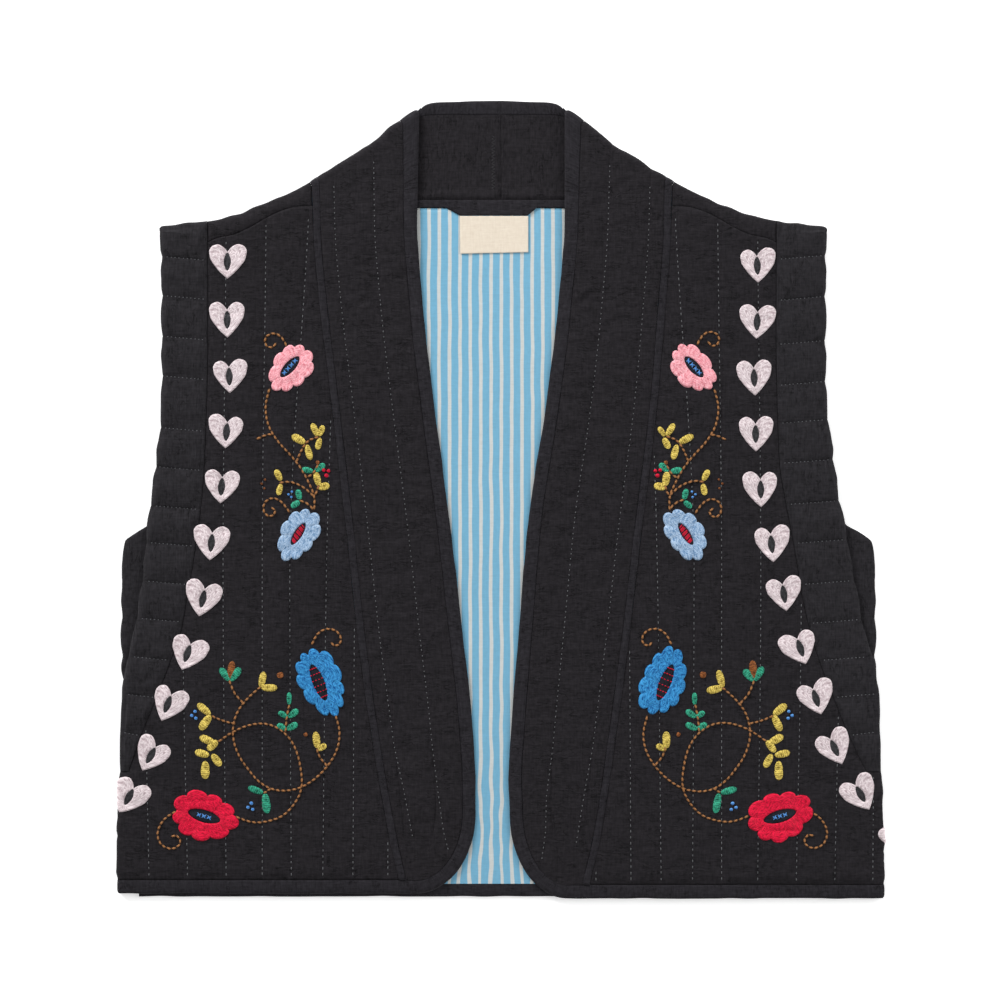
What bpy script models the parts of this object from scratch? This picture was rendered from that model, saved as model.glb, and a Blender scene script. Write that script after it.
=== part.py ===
"""Quilted folk vest laid flat on its back, front up, as cut and sewn pieces.

The back lies on the surface with its striped lining up. Both fronts, the collar band and the
armhole bands lie over it and are folded round at the shoulders, the neck and the sides.
Sizes are in millimetres. A height is measured up the garment from the lowest hem, a reach
sideways from the line between the two fronts, and z up from the surface it lies on.
"""

import math
from collections import namedtuple

import bmesh
import bpy

MM = 0.001
SIDES = ("left", "right")
SIGN = {"left": -1, "right": 1}

# Driving sizes of the whole garment.
LENGTH = 591.0
OPENING_LINE_X = -6.7
GAP = 0.3
SEAM_GAP = 0.4
WIDE_GAP = 0.7
SHELL_WALL = 2.0
BAND_WALL = 2.6
LINING_WALL = 1.0
LABEL_WALL = 1.0
LINING_Z = SHELL_WALL + GAP
FACING_Z = LINING_Z + LINING_WALL + GAP
UPPER_Z = FACING_Z
UPPER_Z_AT_NECK = FACING_Z + LABEL_WALL + GAP
RISE_FROM, RISE_TO = 430.0, 498.0

# Quilting: how far the cloth stands up between its lines of running stitch.
CHANNEL_PUFF = 1.1
PUFF_ROUNDNESS = 0.6
FULL_PUFF_WIDTH = 22.0
LEAST_CHANNEL = 5.0
BAND_PUFF = 1.0
BAND_SCALLOP = 1.2
BAND_EDGE_SLIM = 0.45
ARMHOLE_LINE_TILT = 3.0

# Bound edges and the raised tape over the seam between front and collar band.
BINDING_WIDTH = 10.0
BINDING_PUFF = 0.9
BINDING_EDGE_SLIM = 0.4
TAPE_WIDTH = 5.6
TAPE_PUFF = 1.2
TAPE_ROUNDNESS = 0.5
FRONT_HEM = {"left": 4.4, "right": 0.8}
BACK_HEM = 2.0
BACK_HEM_WIDTH = 9.4
CORNER_HEIGHT = 65.0
CORNER_REACH = 56.0
CORNER_STEPS = 10
CORNER_RUN = 25.0

# Where the cloth turns under at the sides, and how far it runs on below.
UNDER_WIDTH = 12.0
UNDERARM = 95.0
BELOW_UNDERARM = 94.8
FOLD_STEPS = 4

# The back neck: the collar's middle seam, the facing with its tab, and the plain label.
COLLAR_SEAM_X = 0.0
FACING_OUTLINE = [(-66.0, 512.5), (-41.0, 512.5), (-30.5, 506.6), (19.8, 506.6)]
FACING_OUTLINE += [(27.0, 512.5), (66.0, 512.5), (66.0, 518.0), (-66.0, 518.0)]
LABEL_OUTLINE = [(-30.1, 478.3), (20.2, 479.4), (20.2, 506.2), (-30.5, 506.2)]

Pair = namedtuple("Pair", "height left right")
Spot = namedtuple("Spot", "reach height")
Line = namedtuple("Line", "hem chest shoulder")
Heights = namedtuple("Heights", "left right")
Section = namedtuple("Section", "edge seam neck")

# The free front edge above its rounded corner.
FRONT_EDGE = [
    Pair(65, 12.0, 13.0),
    Pair(90, 12.2, 12.2),
    Pair(128, 14.4, 14.4),
    Pair(205, 22.6, 20.4),
    Pair(282, 31.5, 27.0),
    Pair(359, 41.8, 38.9),
    Pair(436, 50.7, 48.5),
    Pair(512, 55.6, 54.0),
    Pair(582, 53.8, 53.8),
]
# The middle of the tape between each front and its collar band.
TAPE_LINE = [
    Pair(14, 66.0, 70.0),
    Pair(51, 74.0, 78.4),
    Pair(118, 85.8, 88.5),
    Pair(192, 96.2, 98.5),
    Pair(281, 105.8, 109.0),
    Pair(370, 116.2, 119.9),
    Pair(444, 125.0, 126.0),
    Pair(490, 129.0, 129.3),
    Pair(531, 130.4, 130.4),
]
# The seam between each front and its armhole band.
ARMHOLE_SEAM = [
    Pair(95, 269.0, 277.2),
    Pair(125, 258.8, 263.0),
    Pair(148, 249.0, 253.5),
    Pair(177, 238.0, 242.4),
    Pair(199, 230.5, 235.7),
    Pair(222, 226.0, 230.5),
    Pair(266, 218.7, 223.0),
    Pair(296, 215.0, 217.2),
    Pair(325, 212.8, 212.8),
    Pair(414, 210.5, 210.5),
    Pair(503, 210.5, 210.5),
]
# The free edge of the armhole band where it lies on the front.
BAND_EDGE_FRONT = [
    Pair(155, 274.0, 286.5),
    Pair(173, 271.0, 284.0),
    Pair(192, 266.8, 277.9),
    Pair(236, 259.4, 269.0),
    Pair(281, 255.0, 261.0),
    Pair(310, 251.2, 255.7),
    Pair(340, 247.5, 252.0),
    Pair(370, 245.3, 248.3),
    Pair(443, 245.0, 247.5),
    Pair(498, 246.0, 248.0),
]
# Its free edge on the back, which shows past the front one below a step in it.
BAND_EDGE_BACK = [
    Pair(158, 272.5, 283.0),
    Pair(170, 275.0, 285.0),
    Pair(192, 275.4, 285.0),
    Pair(251, 274.6, 284.2),
    Pair(264.5, 273.8, 283.0),
    Pair(271.5, 264.5, 274.0),
    Pair(278.5, 254.0, 261.5),
    Pair(310, 249.0, 253.5),
    Pair(370, 243.3, 246.3),
    Pair(443, 243.0, 245.5),
    Pair(498, 244.5, 246.5),
]
BACK_ARMHOLE_SEAM = [
    Pair(95, 260.0, 272.0),
    Pair(125, 254.0, 262.0),
    Pair(148, 247.0, 252.5),
    Pair(177, 238.0, 242.4),
    Pair(222, 226.0, 230.5),
    Pair(296, 215.0, 217.2),
    Pair(325, 212.8, 212.8),
    Pair(414, 210.5, 210.5),
    Pair(503, 210.5, 210.5),
]
# The outermost line of the folded sides.
SIDE_FOLD = [
    Pair(0, 277.2, 290.2),
    Pair(44, 277.2, 290.2),
    Pair(74, 275.8, 289.0),
    Pair(118, 275.6, 287.6),
    Pair(148, 274.6, 286.8),
    Pair(178, 275.2, 286.0),
    Pair(262, 274.6, 284.4),
]
# The top outline from the neck's corner along the shoulder to the armhole band's corner.
SHOULDER_TOP = [
    Spot(54.0, 586.6),
    Spot(64.0, 580.0),
    Spot(79.0, 568.0),
    Spot(95.0, 555.8),
    Spot(113.0, 544.4),
    Spot(134.0, 532.2),
    Spot(156.0, 520.6),
    Spot(172.0, 514.2),
    Spot(185.0, 508.6),
    Spot(202.0, 503.6),
    Spot(213.0, 502.2),
    Spot(248.0, 498.4),
]
SHOULDER_SEAM = [
    Spot(133.0, 513.4),
    Spot(144.0, 512.8),
    Spot(154.0, 510.2),
    Spot(164.0, 506.0),
    Spot(180.0, 496.8),
    Spot(190.0, 492.4),
    Spot(203.0, 489.6),
    Spot(211.0, 486.0),
]
# Lines of running stitch down each front, from the middle outwards.
QUILT_LINES = [
    Line(77.0, 77.0, 77.0),
    Line(103.0, 101.5, 98.0),
    Line(125.4, 122.5, 114.0),
    Line(148.4, 149.6, 135.8),
    Line(170.0, 170.0, 167.0),
    Line(196.5, 199.0, 196.5),
    Line(225.0, 229.0, 229.0),
    Line(253.5, 257.5, 257.5),
    Line(281.8, 283.0, 283.0),
]
CHEST_HEIGHT, SHOULDER_HEIGHT = 240.0, 500.0
# Where the running stitches lie across the collar band, from its binding to its tape.
COLLAR_LINES = (0.35, 0.83)
# The collar behind the neck, from the fold at the neck's corner to its middle seam.
COLLAR_BACK = [
    Section(Spot(53.8, 581.6), Spot(66.0, 573.2), Spot(127.6, 531.0)),
    Section(Spot(52.6, 586.0), Spot(58.0, 578.2), Spot(112.0, 525.4)),
    Section(Spot(47.6, 589.6), Spot(50.0, 580.6), Spot(95.0, 521.2)),
    Section(Spot(40.0, 590.9), Spot(42.0, 581.3), Spot(76.0, 518.6)),
    Section(Spot(27.0, 591.2), Spot(28.0, 581.5), Spot(51.0, 517.8)),
    Section(Spot(14.0, 591.8), Spot(14.0, 581.5), Spot(24.0, 517.8)),
]
COLLAR_MIDDLE = Section(Spot(0.0, 592.0), Spot(0.0, 581.5), Spot(0.0, 517.8))
NECK_CORNER = 133.5
# Heights of the stitch lines across the armhole bands, between the shoulder and the underarm.
ARMHOLE_LINES = [
    Heights(503.7, 503.4),
    Heights(474.6, 474.2),
    Heights(445.7, 445.0),
    Heights(415.8, 412.0),
    Heights(386.5, 381.7),
    Heights(348.0, 354.0),
    Heights(318.8, 324.4),
    Heights(291.0, 294.0),
    Heights(263.7, 265.2),
    Heights(235.2, 235.2),
    Heights(207.4, 206.7),
    Heights(178.6, 179.0),
    Heights(152.0, 152.2),
    Heights(123.4, 123.8),
    Heights(95.9, 95.9),
]
CROTCH_LINE = 12
LAST_LINE = 13
# Shares of the armhole band's width, from its seam to its free edge.
BAND_SHARES = (0.0, 0.2, 0.45, 0.7, 0.9, 1.0)
BAND_BACK_SHARES = (0.7, 0.35, 0.0)
BAND_BACK_HEIGHTS = [470.0, 440.5, 411.0, 381.5, 352.0, 322.5, 293.0]
BAND_BACK_HEIGHTS += [278.5, 271.5, 264.5, 251.0, 221.5, 192.0, 170.0]
BACK_HEIGHTS = (124.0, 153.0, 182.0, 222.0, 262.0, 302.0, 342.0, 384.0, 427.0, 470.0)


def smooth(knots, values, at):
    """The value at a place on a curve through the knots that never overshoots them."""
    if at <= knots[0]:
        return values[0]
    if at >= knots[-1]:
        return values[-1]
    steps = [b - a for a, b in zip(knots, knots[1:])]
    slopes = [(b - a) / step for a, b, step in zip(values, values[1:], steps)]
    tangents = [slopes[0]]
    for before, after in zip(slopes, slopes[1:]):
        level = before * after <= 0
        tangents.append(0.0 if level else 2 * before * after / (before + after))
    tangents.append(slopes[-1])
    i = max(i for i, knot in enumerate(knots[:-1]) if knot <= at)
    step = steps[i]
    t = (at - knots[i]) / step
    start, end = values[i], values[i + 1]
    bend = tangents[i] * step * t * (1 - t) ** 2 - tangents[i + 1] * step * t * t * (1 - t)
    return start + (end - start) * t * t * (3 - 2 * t) + bend


def straight(knots, values, at):
    """The value at a place on straight lines from knot to knot."""
    at = min(knots[-1], max(knots[0], at))
    for low, high, start, end in zip(knots, knots[1:], values, values[1:]):
        if at <= high:
            return mix(start, end, (at - low) / (high - low))
    return values[-1]


def reach_at(table, side, height):
    return smooth([row.height for row in table], [getattr(row, side) for row in table], height)


def height_at(spots, reach):
    return smooth([spot.reach for spot in spots], [spot.height for spot in spots], reach)


def mix(a, b, t):
    return a + (b - a) * t


def mix_spot(a, b, t):
    return Spot(mix(a.reach, b.reach, t), mix(a.height, b.height, t))


def ease(t):
    t = min(1.0, max(0.0, t))
    return t * t * (3 - 2 * t)


def span(start, end, longest):
    """Even stops from start to end, no further apart than longest."""
    count = max(1, math.ceil(abs(end - start) / longest))
    return [mix(start, end, i / count) for i in range(count + 1)]


def thirds(stops):
    """Each stop and the two places between it and the next, as (place, share, width)."""
    places = []
    for low, high in zip(stops, stops[1:]):
        places += [(mix(low, high, share), share, high - low) for share in (0.0, 1 / 3, 2 / 3)]
    return places + [(stops[-1], 0.0, 1.0)]


def upper_z(height):
    """Underside of the cloth that lies on the back; it rides up over the layers at the neck."""
    return mix(UPPER_Z, UPPER_Z_AT_NECK, ease((height - RISE_FROM) / (RISE_TO - RISE_FROM)))


def place(side, reach, height, z):
    return (
        (OPENING_LINE_X + SIGN[side] * reach) * MM,
        (height - LENGTH / 2) * MM,
        z * MM,
    )


class Sheet:
    """A cloth wall: matching outer and inner points in rows, and the faces between rows."""

    def __init__(self):
        self.outer, self.inner, self.faces = [], [], []

    def row(self, points):
        """Adds a row of (position along it, outer point, inner point) and numbers them."""
        first = len(self.outer)
        for _, outer, inner in points:
            self.outer.append(outer)
            self.inner.append(inner)
        return [(point[0], first + i) for i, point in enumerate(points)]

    def join(self, low, high):
        """Faces between two rows, quads where they match and triangles where they don't."""
        if len(low) == len(high):
            for (_, a), (_, b), (_, c), (_, d) in zip(low, low[1:], high[1:], high):
                self.faces.append((a, b, c, d))
            return
        i = j = 0
        while i < len(low) - 1 or j < len(high) - 1:
            low_next = low[i + 1][0] if i < len(low) - 1 else math.inf
            high_next = high[j + 1][0] if j < len(high) - 1 else math.inf
            if low_next <= high_next:
                self.faces.append((low[i][1], low[i + 1][1], high[j][1]))
                i += 1
            else:
                self.faces.append((low[i][1], high[j + 1][1], high[j][1]))
                j += 1

    def join_all(self, rows):
        for low, high in zip(rows, rows[1:]):
            self.join(low, high)

    def build(self, name, colour):
        """The closed wall as a named object: outer faces, inner faces and the rim between."""
        count = len(self.outer)
        faces = list(self.faces)
        faces += [tuple(count + i for i in reversed(face)) for face in self.faces]
        edges = {(a, b) for face in self.faces for a, b in zip(face, face[1:] + face[:1])}
        faces += [(b, a, count + a, count + b) for a, b in sorted(edges) if (b, a) not in edges]
        mesh = bpy.data.meshes.new(name)
        mesh.from_pydata(self.outer + self.inner, [], faces)
        work = bmesh.new()
        work.from_mesh(mesh)
        bmesh.ops.recalc_face_normals(work, faces=work.faces)
        work.to_mesh(mesh)
        work.free()
        mesh.shade_smooth()
        mesh.set_sharp_from_angle(angle=math.radians(50))
        mesh.materials.append(colour)
        made = bpy.data.objects.new(name, mesh)
        bpy.context.scene.collection.objects.link(made)
        return made


def folded(side, start, outward, distance, wall, puff=0.0, slim=1.0):
    """Outer and inner point of a wall that turns under at a fold.

    The fold starts at a spot and turns towards outward; distance is measured along the
    cloth from there, negative before the fold. A slim under 1 thins the wall at an edge.
    """
    low = wall / 2
    high = upper_z(start.height) + wall / 2
    radius = (high - low) / 2
    turn = min(math.pi, max(0.0, distance / radius))
    flat = distance if distance < 0 else min(0.0, math.pi * radius - distance)
    out = flat + radius * math.sin(turn)
    across, up = math.sin(turn), math.cos(turn)
    middle_z = (high + low) / 2 + radius * up
    half = wall / 2 * slim
    points = []
    for off in (half + puff * slim, -half):
        shift = out + across * off
        reach = start.reach + outward[0] * shift
        height = start.height + outward[1] * shift
        points.append(place(side, reach, height, middle_z + up * off))
    return points


def fold_length(height):
    """Length of cloth taken up by the half turn of a fold, along the wall's middle."""
    return math.pi * upper_z(height) / 2


def side_start(side, height, wall):
    """Reach at which cloth on the front begins to turn under at the side."""
    return reach_at(SIDE_FOLD, side, height) - (upper_z(height) + wall) / 2


def top_fold(reach, wall):
    """Where cloth begins to turn over at the shoulder or the neck, and the way outwards."""
    before = max(SHOULDER_TOP[0].reach, reach - 1)
    after = min(SHOULDER_TOP[-1].reach, reach + 1)
    rise = height_at(SHOULDER_TOP, after) - height_at(SHOULDER_TOP, before)
    length = math.hypot(after - before, rise)
    outward = (-rise / length, (after - before) / length)
    backset = (UPPER_Z_AT_NECK + wall) / 2
    return Spot(reach, height_at(SHOULDER_TOP, reach) - backset / outward[1]), outward


def front_point(side, reach, height, wall, puff=0.0, slim=1.0):
    """A point of the cloth on the front, at an unrolled reach that runs on round the side."""
    start = Spot(side_start(side, height, wall), height)
    outer, inner = folded(side, start, (1, 0), reach - start.reach, wall, puff, slim)
    return reach, outer, inner


def lower_point(side, spot, wall, slim=1.0, position=0.0):
    """A point of the cloth that lies on the surface, outer face down."""
    shave = wall / 2 * (1 - slim)
    outer = place(side, spot.reach, spot.height, shave)
    return position, outer, place(side, spot.reach, spot.height, wall - shave)


def side_turns(side, height, wall):
    """Unrolled reaches of the stops round the side fold, from its start to its end."""
    start = side_start(side, height, wall)
    turn = fold_length(height)
    return [start + turn * step / FOLD_STEPS for step in range(FOLD_STEPS + 1)]


def channel_puff(share, width, puff=CHANNEL_PUFF):
    """Rise of the cloth part of the way across a quilted channel."""
    return puff * math.sin(math.pi * share) ** PUFF_ROUNDNESS * min(1.0, width / FULL_PUFF_WIDTH)


def armhole_line(side, step, share=0.0):
    """Height of a stitch line across the armhole band; it climbs a little towards the edge."""
    heights = [getattr(line, side) for line in ARMHOLE_LINES]
    return straight(range(len(heights)), heights, step) + ARMHOLE_LINE_TILT * share


def armhole_heights(side):
    """Heights of the armhole seam's corners: the underarm and then each stitch line."""
    return [UNDERARM] + [armhole_line(side, step) for step in range(LAST_LINE, 0, -1)]


def armhole_seam(side, height):
    """Reach of the armhole seam on the front, straight from stitch line to stitch line."""
    heights = armhole_heights(side)
    return straight(heights, [reach_at(ARMHOLE_SEAM, side, at) for at in heights], height)


def back_seam(side, height):
    """Reach of the armhole seam on the back, straight between the back's rows."""
    heights = (UNDERARM,) + BACK_HEIGHTS
    return straight(heights, [reach_at(BACK_ARMHOLE_SEAM, side, at) for at in heights], height)


def quilt_line(line, height):
    """Reach of a line of running stitch on the front, at a height."""
    heights = [0.0, CHEST_HEIGHT, SHOULDER_HEIGHT]
    return smooth(heights, [line.hem, line.chest, line.shoulder], height)


def channel_stops(height, lowest, highest):
    """Stops from lowest to highest at the lines of running stitch, and between them."""
    lines = [quilt_line(line, height) for line in QUILT_LINES]
    inside = [r for r in lines if lowest + LEAST_CHANNEL < r < highest - LEAST_CHANNEL]
    return thirds([lowest] + inside + [highest])


def shoulder_stops(side):
    """Stops along the shoulder seam, shared by the front and the back that meet there."""
    return channel_stops(SHOULDER_HEIGHT, NECK_CORNER, armhole_seam(side, SHOULDER_HEIGHT))


def flat_row(side, stops, heights):
    """A row of quilted cloth on the front from its stops and their heights."""
    row = []
    for (reach, share, width), height in zip(stops, heights):
        row.append(front_point(side, reach, height, SHELL_WALL, channel_puff(share, width)))
    return row


def under_row(side, height):
    """The rest of a row, round the side fold and a little way below."""
    turns = side_turns(side, height, SHELL_WALL)
    reaches = turns[1:] + [turns[-1] + UNDER_WIDTH]
    return [front_point(side, reach, height, SHELL_WALL) for reach in reaches]


def tape_outside(side, height):
    return reach_at(TAPE_LINE, side, height) + TAPE_WIDTH / 2 + GAP


def make_front(side, colour):
    """A quilted front, from the hem to the shoulder seam and round the side."""
    sheet = Sheet()
    rows = []
    hem = FRONT_HEM[side] + BINDING_WIDTH + GAP
    for height in span(hem, UNDERARM, 28.0):
        start = side_start(side, height, SHELL_WALL)
        stops = channel_stops(height, tape_outside(side, height), start)
        if height == UNDERARM:
            seam = armhole_seam(side, height)
            stops = channel_stops(height, tape_outside(side, height), seam) + [(start, 0.0, 1.0)]
        row = flat_row(side, stops, [height] * len(stops)) + under_row(side, height)
        rows.append(sheet.row(row))
    sheet.join_all(rows)
    rows = [[stop for stop in rows[-1] if stop[0] <= armhole_seam(side, UNDERARM)]]
    for height in armhole_heights(side)[1:]:
        stops = channel_stops(height, tape_outside(side, height), armhole_seam(side, height))
        rows.append(sheet.row(flat_row(side, stops, [height] * len(stops))))
    stops = shoulder_stops(side)
    heights = [height_at(SHOULDER_SEAM, reach) - GAP for reach, _, _ in stops]
    rows.append(sheet.row(flat_row(side, stops, heights)))
    sheet.join_all(rows)
    return sheet.build(f"{side}_front", colour)


def band_slim(share):
    """How much of the armhole band's wall is left: less at its free edge."""
    return BAND_EDGE_SLIM if share == 1.0 else 1.0


def band_front_row(side, step, heights, free):
    """A row across the armhole band on the front, from its seam to its free edge or the fold."""
    between = math.sin(math.pi * (step % 1))
    row = []
    for share, height in zip(BAND_SHARES, heights):
        fold = side_start(side, height, BAND_WALL)
        edge = reach_at(BAND_EDGE_FRONT, side, height) if free else fold
        scallop = BAND_SCALLOP * (1 - between) * ease(2 * share - 1) * ease((fold - edge) / 6)
        reach = mix(armhole_seam(side, height) + SEAM_GAP, edge, share) - scallop
        puff = channel_puff(step % 1, FULL_PUFF_WIDTH) * ease(4 * share) * ease(6 * (1 - share))
        slim = band_slim(share) if free else 1.0
        point = front_point(side, reach, height, BAND_WALL, puff, slim)
        row.append((share,) + point[1:])
    return row


def band_whole_row(side, step, heights):
    """A row of the armhole band below the armhole: the front, the side fold and the back."""
    row = band_front_row(side, step, heights, free=False)
    level = heights[-1]
    for reach in side_turns(side, level, BAND_WALL)[1:]:
        row.append(front_point(side, reach, level, BAND_WALL))
    fold = side_start(side, level, BAND_WALL)
    for share in BAND_BACK_SHARES:
        height = mix(heights[0], level, share)
        spot = Spot(mix(back_seam(side, height) + SEAM_GAP, fold, share), height)
        row.append(lower_point(side, spot, BAND_WALL))
    return row


def make_armhole_band(side, colour):
    """The wide quilted band round an armhole, with both halves meeting at the side fold."""
    sheet = Sheet()
    low_end = UNDERARM + GAP
    whole = [sheet.row(band_whole_row(side, 0.0, [low_end] * len(BAND_SHARES)))]
    for third in range(3 * LAST_LINE + 2, 3 * CROTCH_LINE - 1, -1):
        heights = [armhole_line(side, third / 3, share) for share in BAND_SHARES]
        heights = [max(low_end + 4, height) for height in heights]
        whole.append(sheet.row(band_whole_row(side, third / 3, heights)))
    sheet.join_all(whole)
    front = [whole[-1][: len(BAND_SHARES)]]
    for third in range(3 * CROTCH_LINE - 1, 1, -1):
        heights = [armhole_line(side, third / 3, share) for share in BAND_SHARES]
        front.append(sheet.row(band_front_row(side, third / 3, heights, free=True)))
    low = armhole_seam(side, SHOULDER_HEIGHT) + SEAM_GAP
    high = reach_at(BAND_EDGE_FRONT, side, SHOULDER_HEIGHT)
    for step in range(FOLD_STEPS + 1):
        row = []
        for share in BAND_SHARES:
            start, outward = top_fold(mix(low, high, share), BAND_WALL)
            turned = fold_length(start.height) * step / FOLD_STEPS
            points = folded(side, start, outward, turned, BAND_WALL, slim=band_slim(share))
            row.append((share, *points))
        front.append(sheet.row(row))
    sheet.join_all(front)
    back = [front[-1]]
    for height in BAND_BACK_HEIGHTS:
        low = back_seam(side, height) + SEAM_GAP
        high = reach_at(BAND_EDGE_BACK, side, height)
        row = []
        for share in BAND_SHARES:
            spot = Spot(mix(low, high, share), height)
            row.append(lower_point(side, spot, BAND_WALL, band_slim(share), share))
        back.append(sheet.row(row))
    seam_to_fold = [number for _, number in whole[-1][: -len(BAND_BACK_SHARES) - 2 : -1]]
    back.append([(i / 3, number) for i, number in enumerate(seam_to_fold)])
    sheet.join_all(back)
    return sheet.build(f"{side}_armhole_band", colour)


def front_corner(side, angle):
    """The rounded lower corner of the free edge and its binding's seam, up from the hem."""
    wide = CORNER_REACH - reach_at(FRONT_EDGE, side, CORNER_HEIGHT)
    tall = CORNER_HEIGHT - FRONT_HEM[side]
    across, up = math.sin(angle), math.cos(angle)
    edge = Spot(CORNER_REACH - wide * across, CORNER_HEIGHT - tall * up)
    length = math.hypot(across / wide, up / tall)
    inward = (across / wide / length, up / tall / length)
    seam = Spot(edge.reach + inward[0] * BINDING_WIDTH, edge.height + inward[1] * BINDING_WIDTH)
    return edge, seam


def edge_stations(side):
    """Matching spots on the free edge and on its binding's seam, from the corner to the neck."""
    turn = math.pi / 2 / CORNER_STEPS
    stations = [front_corner(side, turn * step) for step in range(CORNER_STEPS + 1)]
    for height in span(CORNER_HEIGHT + CORNER_RUN, SHOULDER_HEIGHT, 28.0):
        reach = reach_at(FRONT_EDGE, side, height)
        stations.append((Spot(reach, height), Spot(reach + BINDING_WIDTH, height)))
    last_edge, last_seam = stations[-1]
    end_edge, _ = top_fold(COLLAR_BACK[0].edge.reach, SHELL_WALL)
    end_seam, _ = top_fold(COLLAR_BACK[0].seam.reach, SHELL_WALL)
    for t in (1 / 3, 2 / 3):
        stations.append((mix_spot(last_edge, end_edge, t), mix_spot(last_seam, end_seam, t)))
    return stations


def collar_sections(side):
    """The collar's sections behind the neck, ending at the middle seam on this side."""
    middle = SIGN[side] * (COLLAR_SEAM_X - OPENING_LINE_X) + GAP / 2
    end = Section(*(Spot(middle, spot.height) for spot in COLLAR_MIDDLE))
    return COLLAR_BACK[1:] + [end]


def collar_rows(side):
    """The collar band's rows on the front, as spots from its binding to its tape."""
    low = FRONT_HEM[side] + BINDING_WIDTH + GAP
    stations = edge_stations(side)
    corner_top = stations[CORNER_STEPS][1].height + CORNER_RUN
    rows = []
    for i, (edge, seam) in enumerate(stations):
        inner = mix_spot(edge, seam, 1 + GAP / BINDING_WIDTH)
        height = seam.height
        share = i / CORNER_STEPS
        if share <= 1:
            height = mix(low, corner_top, (ease(share) + share) / 2)
        elif i < len(stations) - 2:
            height = max(corner_top + 8 * (i - CORNER_STEPS), seam.height)
        reach = reach_at(TAPE_LINE, side, height) - TAPE_WIDTH / 2 - GAP
        rows.append([inner, Spot(reach, height)])
    end, _ = top_fold(COLLAR_BACK[0].neck.reach, SHELL_WALL)
    top = rows[-3][1]
    for row, t in zip(rows[-2:], (1 / 3, 2 / 3)):
        height = mix(top.height, end.height, t)
        row[1] = Spot(reach_at(TAPE_LINE, side, height) - TAPE_WIDTH / 2 - GAP, height)
    return rows


def make_collar_band(side, colour):
    """Half of the collar band: up the front edge, under at the neck, to the middle seam."""
    sheet = Sheet()
    places = thirds([0.0, *COLLAR_LINES, 1.0])
    rows = []
    for inner, outer in collar_rows(side):
        width = math.hypot(outer.reach - inner.reach, outer.height - inner.height)
        row = []
        for at, share, wide in places:
            spot = mix_spot(inner, outer, at)
            puff = channel_puff(share, width * wide, BAND_PUFF)
            point = front_point(side, spot.reach, spot.height, BAND_WALL, puff)
            row.append((at,) + point[1:])
        rows.append(sheet.row(row))
    low, high = COLLAR_BACK[0].seam.reach + GAP, COLLAR_BACK[0].neck.reach - 2 * WIDE_GAP
    for step in range(FOLD_STEPS + 1):
        row = []
        for at, share, wide in places:
            start, outward = top_fold(mix(low, high, at), BAND_WALL)
            turned = fold_length(start.height) * step / FOLD_STEPS
            puff = channel_puff(share, (high - low) * wide, BAND_PUFF) * (1 - step / FOLD_STEPS)
            row.append((at, *folded(side, start, outward, turned, BAND_WALL, puff)))
        rows.append(sheet.row(row))
    for section in collar_sections(side):
        top = Spot(section.seam.reach, section.seam.height - GAP)
        bottom = Spot(section.neck.reach, section.neck.height + GAP)
        row = []
        for at, _, _ in places:
            row.append(lower_point(side, mix_spot(top, bottom, at), BAND_WALL, 1.0, at))
        rows.append(sheet.row(row))
    sheet.join_all(rows)
    return sheet.build(f"{side}_collar_band", colour)


def make_seam_tape(side, colour):
    """The raised tape over the seam of the collar band, up the front and round the neck."""
    shares = (0.0, 0.25, 0.5, 0.75, 1.0)
    sheet = Sheet()
    rows = []

    def bulge(share):
        return TAPE_PUFF * math.sin(math.pi * share) ** TAPE_ROUNDNESS

    for height in span(FRONT_HEM[side] + BINDING_WIDTH + GAP, 505.0, 33.0):
        row = []
        for share in shares:
            reach = reach_at(TAPE_LINE, side, height) + TAPE_WIDTH * (share - 0.5)
            point = front_point(side, reach, height, SHELL_WALL, bulge(share))
            row.append((share,) + point[1:])
        rows.append(sheet.row(row))
    for step in range(FOLD_STEPS + 1):
        row = []
        for share in shares:
            reach = COLLAR_BACK[0].neck.reach + TAPE_WIDTH * share
            start, outward = top_fold(reach, SHELL_WALL)
            turned = fold_length(start.height) * step / FOLD_STEPS
            puff = bulge(share) * (1 - step / FOLD_STEPS)
            row.append((share, *folded(side, start, outward, turned, SHELL_WALL, puff)))
        rows.append(sheet.row(row))
    for section in collar_sections(side):
        row = []
        for share in shares:
            spot = Spot(section.neck.reach, section.neck.height - TAPE_WIDTH * share)
            row.append(lower_point(side, spot, SHELL_WALL, 1.0, share))
        rows.append(sheet.row(row))
    sheet.join_all(rows)
    return sheet.build(f"{side}_seam_tape", colour)


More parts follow.
